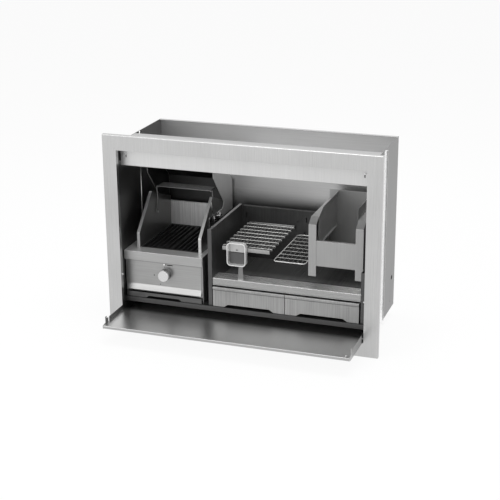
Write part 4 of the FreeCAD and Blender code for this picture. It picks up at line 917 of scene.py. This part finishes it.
class GRILL_OT_rack(GrillOperator):
    """Make the warming rack and its two swinging links"""

    bl_idname = "grill.rack"
    bl_label = "Warming rack and links"

    def make(self, context):
        size = context.scene.grill_wires
        low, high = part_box("warming_rack")
        wire = size.rack_wire * MM
        room = 2.89 * MM  # from the part's six-sided rim to its middle
        depth = 60.0 * MM

        level = (low.z + high.z) / 2
        left = low.x + room
        right = high.x - room
        front = high.y - room - depth
        edge = grown(
            "rack_rim", row_of_loops, "dark_wire", Count=1,
            First=((left + right) / 2, front + depth / 2, level),
            Width=right - left, Height=depth, Corner=10.0 * MM, Radius=wire,
        )
        step = depth / size.rack_rods
        rods = grown(
            "rack_rods", row_of_wires, "dark_wire", Count=size.rack_rods - 1,
            First=(left, front + step, level), Step=(0.0, step, 0.0),
            Run=(right - left, 0.0, 0.0), Radius=wire * 0.7,
        )
        shape = bmesh.new()
        half = 2.0 * MM  # half an eye's thickness
        for x in (left, right):
            ends = [Vector((x - half, front, level)), Vector((x + half, front, level))]
            sweep(shape, ends, 5.5 * MM, 24)
        whole = joined([edge, rods, as_mesh(shape)])
        piece("rack", whole, "warming_rack", "dark_wire", "wire", "warming_rack")

        low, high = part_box("rack_links")
        pivot_low, pivot_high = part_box("rack_pivots")
        pivot = (pivot_low.z + pivot_high.z) / 2
        eye = 4.5 * MM  # radius of the ring round the lower pivot
        wire, bend = 2.4 * MM, 2.6 * MM
        inset = 3.0 * MM
        arm = 9.0 * MM  # the end that is turned inwards to the rack
        behind, above = 7.0 * MM, 71.0 * MM  # place of the link's knee from the lower pivot
        shape = bmesh.new()
        for x, inward in ((low.x + inset, 1), (high.x - inset, -1)):
            path = rounded([
                Vector((x, front, pivot + eye)), Vector((x, front + behind, pivot + above)),
                Vector((x, front, level)), Vector((x + inward * arm, front, level)),
            ], bend)
            sweep(shape, path, wire)
            upward, across = Vector((0.0, 0.0, eye)), Vector((0.0, eye, 0.0))
            ring = circle(Vector((x, front, pivot)), upward, across, 20)
            sweep(shape, ring, 1.5 * MM, 10, True)
        piece("links", as_mesh(shape), "rack_links", "dark_wire", "wire", "rack_links")


class GRILL_OT_hood_lining(GrillOperator):
    """Line the inside of the hood, its skin and both end plates, with black enamel"""

    bl_idname = "grill.hood_lining"
    bl_label = "Hood lining"

    # Outlines inside the shut hood: depth behind the border's face and height, in millimetres
    skin = ((96.8, 289.0), (96.8, 430.3), (215.3, 548.8), (344.0, 548.8))
    cheek = (
        (98.5, 290.0), (98.5, 429.0), (216.0, 547.0), (343.0, 547.0), (345.0, 414.0),
        (330.0, 414.0), (308.0, 425.0), (304.0, 428.0), (287.0, 436.0), (271.0, 428.5),
        (144.0, 316.0), (121.0, 313.0), (107.0, 290.5),
    )
    inset = 1.8
    thickness = 0.2

    def make(self, context):
        low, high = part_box("hood_ends")
        left = low.x / MM + self.inset
        right = high.x / MM - self.inset
        shape = bmesh.new()
        near, far = (
            [shape.verts.new(opened_hood(x, *place)) for place in self.skin] for x in (left, right)
        )
        for index in range(len(self.skin) - 1):
            shape.faces.new((near[index], near[index + 1], far[index + 1], far[index]))
        for x, order in ((left, 1), (right, -1)):
            corners = [opened_hood(x, *place) for place in self.cheek[::order]]
            shape.faces.new([shape.verts.new(corner) for corner in corners])
        made = piece("hood_lining", mesh_of(shape), "hood", "hood_enamel", "stainless")
        thick = made.modifiers.new("thick", "SOLIDIFY")
        thick.thickness = self.thickness * MM
        thick.offset = 0.0


class GRILL_OT_rivets(GrillOperator):
    """Put rivet heads on the wings"""

    bl_idname = "grill.rivets"
    bl_label = "Rivets"

    def make(self, context):
        low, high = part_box("wings")
        inset = 13.0
        left, right = low.x / MM + inset, high.x / MM - inset
        for name, x in (("wing_rivets_left", left), ("wing_rivets_right", right)):
            mesh = grown(
                name, heads_on_points, "bright_pin",
                [point(x, 285.0, height) for height in (343.5, 319.7)],
                Radius=2.4 * MM, Height=1.2 * MM, Turn=(0.0, pi / 2, 0.0),
            )
            piece(name, mesh, "cabinet", "bright_pin", "fasteners")


class GRILL_OT_hood_stops(GrillOperator):
    """Make the stop pins beside the hood, the bright wires at its edge and the brackets' rims"""

    bl_idname = "grill.hood_stops"
    bl_label = "Hood stops"

    def make(self, context):
        low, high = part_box("wings")
        depth, height = 262.0, 412.6  # of the stop pins
        shape = bmesh.new()
        for wing, way in ((low.x / MM, -1), (high.x / MM, 1)):
            pin = [point(wing + way * reach, depth, height) for reach in (-1.0, 30.0)]
            sweep(shape, pin, 1.6 * MM, 16)
            wire = wing + way * 1.4
            sweep(shape, [point(wire, 229.0, 479.0), point(wire, 247.5, 411.0)], 1.1 * MM)
            near, far = sorted((wing + way * 2.2, wing + way * 5.0))
            bar(shape, point(near, 259.0, 369.0), point(far, 260.6, 411.0))
            bar(shape, point(near, 226.0, 367.4), point(far, 260.6, 369.0))
        piece("hood_stops", as_mesh(shape), "cabinet", "pin_steel", "fasteners")


class GRILL_OT_wall_seams(GrillOperator):
    """Make the rolled seams that run up the cabinet's side walls"""

    bl_idname = "grill.wall_seams"
    bl_label = "Wall seams"

    def make(self, context):
        low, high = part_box("cabinet_back")
        depth, foot, top = 262.0, 78.0, high.z / MM - 1.0
        shape = bmesh.new()
        for x in (low.x / MM, high.x / MM):
            sweep(shape, [point(x, depth, foot), point(x, depth, top)], 1.5 * MM, 16)
        piece("wall_seams", as_mesh(shape), "cabinet", "bright_pin", "stainless")


class GRILL_OT_ash_shadow_line(GrillOperator):
    """Lay a thin dark bar on the rail's back edge: a painted shadow between the ash floor and the
    rail
    """

    bl_idname = "grill.ash_lip"
    # Painted shadow at the back of the rail
    bl_label = "Seam at the ash floor"

    def make(self, context):
        low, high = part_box("front_rail")
        inset = 2.0 * MM
        near = Vector((low.x + inset, high.y - 5.0 * MM, high.z + 0.05 * MM))
        far = Vector((high.x - inset, high.y, high.z + 1.2 * MM))
        shape = bmesh.new()
        # A thin dark bar that paints the shadow line between the ash floor and the rail
        bar(shape, near, far, 0.3 * MM)
        piece("ash_lip", as_mesh(shape, False), "cabinet", "fire_back", "stainless")


class GRILL_OT_dial(GrillOperator):
    """Make the marks round the gas knob, a black ring that paints the shade behind its disc, and
    its ribs
    """

    bl_idname = "grill.dial"
    bl_label = "Dial marks and knob grip"

    # Marks: place to the right of the knob's middle and above it, width and height, in millimetres
    marks = (
        (57.0 * cos(radians(191.0)), 57.0 * sin(radians(191.0)), 3.0, 7.5),
        (57.0 * cos(radians(240.6)), 57.0 * sin(radians(240.6)), 3.5, 4.5),
        (-7.0, 30.5, 1.6, 7.0),
    )

    def make(self, context):
        low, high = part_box("knob")
        x = (low.x + high.x) / 2 / MM
        height = (low.z + high.z) / 2 / MM
        face = (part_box("knob_bezel")[1].y - FRONT) / MM
        shape = bmesh.new()
        for aside, above, wide, tall in self.marks:
            near = point(x + aside - wide / 2, face - 0.15, height + above - tall / 2)
            far = point(x + aside + wide / 2, face - 0.01, height + above + tall / 2)
            bar(shape, near, far)
        piece("dial_marks", as_mesh(shape, False), "cabinet", "black_plastic", "black_plastic")

        ring_depth, rib_depth = 41.6, 45.5
        reach, wire = 20.4 * MM, 3.2 * MM
        aside, upward = Vector((reach, 0.0, 0.0)), Vector((0.0, 0.0, reach))
        shape = bmesh.new()
        # Painted shade: a black ring in the gap behind the knob's disc
        sweep(shape, circle(point(x, ring_depth, height), aside, upward, 48), wire, 16, True)
        piece("knob_ring", as_mesh(shape), "knob", "black_plastic", "black_plastic")

        ribs = grown(
            "knob_ribs", ring_of_wires, "knob_metal", Count=36, Reach=reach + 1.0 * MM,
            Middle=tuple(point(x, rib_depth, height)), Run=(0.0, 11.5 * MM, 0.0),
            Radius=0.8 * MM,
        )
        piece("knob_ribs", ribs, "knob", "knob_metal", "knob_metal")


# ---- Camera, lamps and floor

SENSOR = 36.0  # width of the camera's sensor, in millimetres
FLOOR_REACH = 40.0  # from the floor's middle to its edge, in metres
FLOOR_GAP = 0.1 * MM  # between the object and the floor
WHITE = (1.0, 1.0, 1.0, 1.0)

# Square lamps: name, place, size and power, in metres and watts, and the place they look at
LAMPS = (
    ("key", (-2.0, -3.8, 2.3), 3.0, 62.0),
    ("fill", (3.4, -2.6, 2.4), 2.6, 14.0),
    ("top", (0.3, 0.2, 4.0), 3.0, 110.0),
)
AIM = Vector((0.0, 0.0, 0.35))


def split_by_ray(data, ending, lit, seen, share):
    """Give a world or a material one shader for light, and another for what is seen.

    What the camera sees, by itself or in metal or glass, gets its share of the second shader.
    """
    paint = Paint(data)
    part = paint.add("ShaderNodeLightPath", "Is Camera Ray")
    rays = part.node.outputs
    for name in ("Is Glossy Ray", "Is Transmission Ray"):
        part = paint.math("MAXIMUM", part, rays[name])
    inputs = {"Fac": paint.math("MULTIPLY", part, share)}
    for place, (kind, result, values) in enumerate((lit, seen), 1):
        inputs[place] = paint.add(kind, result, values)
    mixed = paint.add("ShaderNodeMixShader", "Shader", inputs)
    paint.add(ending, inputs={"Surface": mixed})


class GRILL_OT_stage(GrillOperator):
    """Set up the camera, the lamps and the pale floor"""

    bl_idname = "grill.stage"
    bl_label = "Stage"

    def make(self, context):
        stage = context.scene.grill_stage
        self.make_camera(context.scene, stage)
        for name, place, size, power in LAMPS:
            light = bpy.data.lights.new(name, "AREA")
            light.shape = "SQUARE"
            light.size = size
            light.energy = power
            lamp = placed(name, light)
            lamp.location = place
            lamp.rotation_mode = "QUATERNION"
            lamp.rotation_quaternion = (AIM - Vector(place)).to_track_quat("-Z", "Y")
        sky = bpy.data.worlds.new("sky")
        lit, seen = (
            ("ShaderNodeBackground", "Background", {"Color": WHITE, "Strength": strength})
            for strength in (stage.sky, 1.0)
        )
        split_by_ray(sky, "ShaderNodeOutputWorld", lit, seen, 1.0)
        context.scene.world = sky
        context.scene.view_settings.view_transform = "Standard"
        self.make_floor(stage)

    def make_camera(self, scene, stage):
        """Camera at its place, turned by its yaw, pitch and roll."""
        lens = bpy.data.cameras.new("camera")
        lens.lens = stage.lens
        lens.sensor_width = SENSOR
        lens.clip_end = 200.0
        camera = placed("camera", lens)
        level = Vector((cos(stage.yaw), sin(stage.yaw), 0.0))
        ahead = Vector((
            -sin(stage.yaw) * cos(stage.pitch), cos(stage.yaw) * cos(stage.pitch),
            -sin(stage.pitch),
        ))
        upright = level.cross(ahead)
        right = level * cos(stage.roll) + upright * sin(stage.roll)
        up = upright * cos(stage.roll) - level * sin(stage.roll)
        turn = Matrix((right, up, -ahead)).transposed().to_4x4()
        camera.matrix_world = Matrix.Translation(stage.place) @ turn
        scene.camera = camera

    def make_floor(self, stage):
        """Pale floor that keeps the object's shadow."""
        shape = bmesh.new()
        bmesh.ops.create_grid(shape, x_segments=1, y_segments=1, size=FLOOR_REACH)
        for vert in shape.verts:
            vert.co.z = FLOOR - FLOOR_GAP
        floor = placed("floor", mesh_of(shape))
        paint = bpy.data.materials.new("floor")
        lit = ("ShaderNodeBsdfDiffuse", "BSDF", {"Color": (*stage.floor, 1.0)})
        seen = ("ShaderNodeEmission", "Emission", {"Color": WHITE})
        split_by_ray(paint, "ShaderNodeOutputMaterial", lit, seen, stage.paper)
        floor.data.materials.append(paint)


# ---- Panel


class GRILL_PT_panel(Panel):
    """Panel that lists the grill's pieces."""

    bl_idname = "GRILL_PT_panel"
    bl_label = "Built-in barbecue"
    bl_space_type = "VIEW_3D"
    bl_region_type = "UI"
    bl_category = "Barbecue"

    def draw(self, context):
        """Show the sizes and a button for each operator."""
        layout = self.layout
        for key in groups:
            box = layout.box()
            group = getattr(context.scene, key)
            for name in group.__annotations__:
                box.prop(group, name)
        for kind in operators:
            layout.operator(kind.bl_idname)


groups = {"grill_steel": GrillSteel, "grill_wires": GrillWires, "grill_stage": GrillStage}
operators = (
    GRILL_OT_stage,
    GRILL_OT_finishes,
    GRILL_OT_left_grid,
    GRILL_OT_right_grid,
    GRILL_OT_rack,
    GRILL_OT_hood_lining,
    GRILL_OT_rivets,
    GRILL_OT_hood_stops,
    GRILL_OT_wall_seams,
    GRILL_OT_ash_shadow_line,
    GRILL_OT_dial,
)


def register():
    """Register the classes and hang the settings on the scene."""
    for name, kind in groups.items():
        bpy.utils.register_class(kind)
        setattr(bpy.types.Scene, name, PointerProperty(type=kind))
    for kind in (*operators, GRILL_PT_panel):
        bpy.utils.register_class(kind)


def unregister():
    """Take everything off again."""
    for kind in (GRILL_PT_panel, *reversed(operators)):
        bpy.utils.unregister_class(kind)
    for name, kind in groups.items():
        delattr(bpy.types.Scene, name)
        bpy.utils.unregister_class(kind)


def main():
    """Make every piece."""
    register()
    for kind in operators:
        group, name = kind.bl_idname.split(".")
        getattr(getattr(bpy.ops, group), name)()


if __name__ == "__main__":
    main()
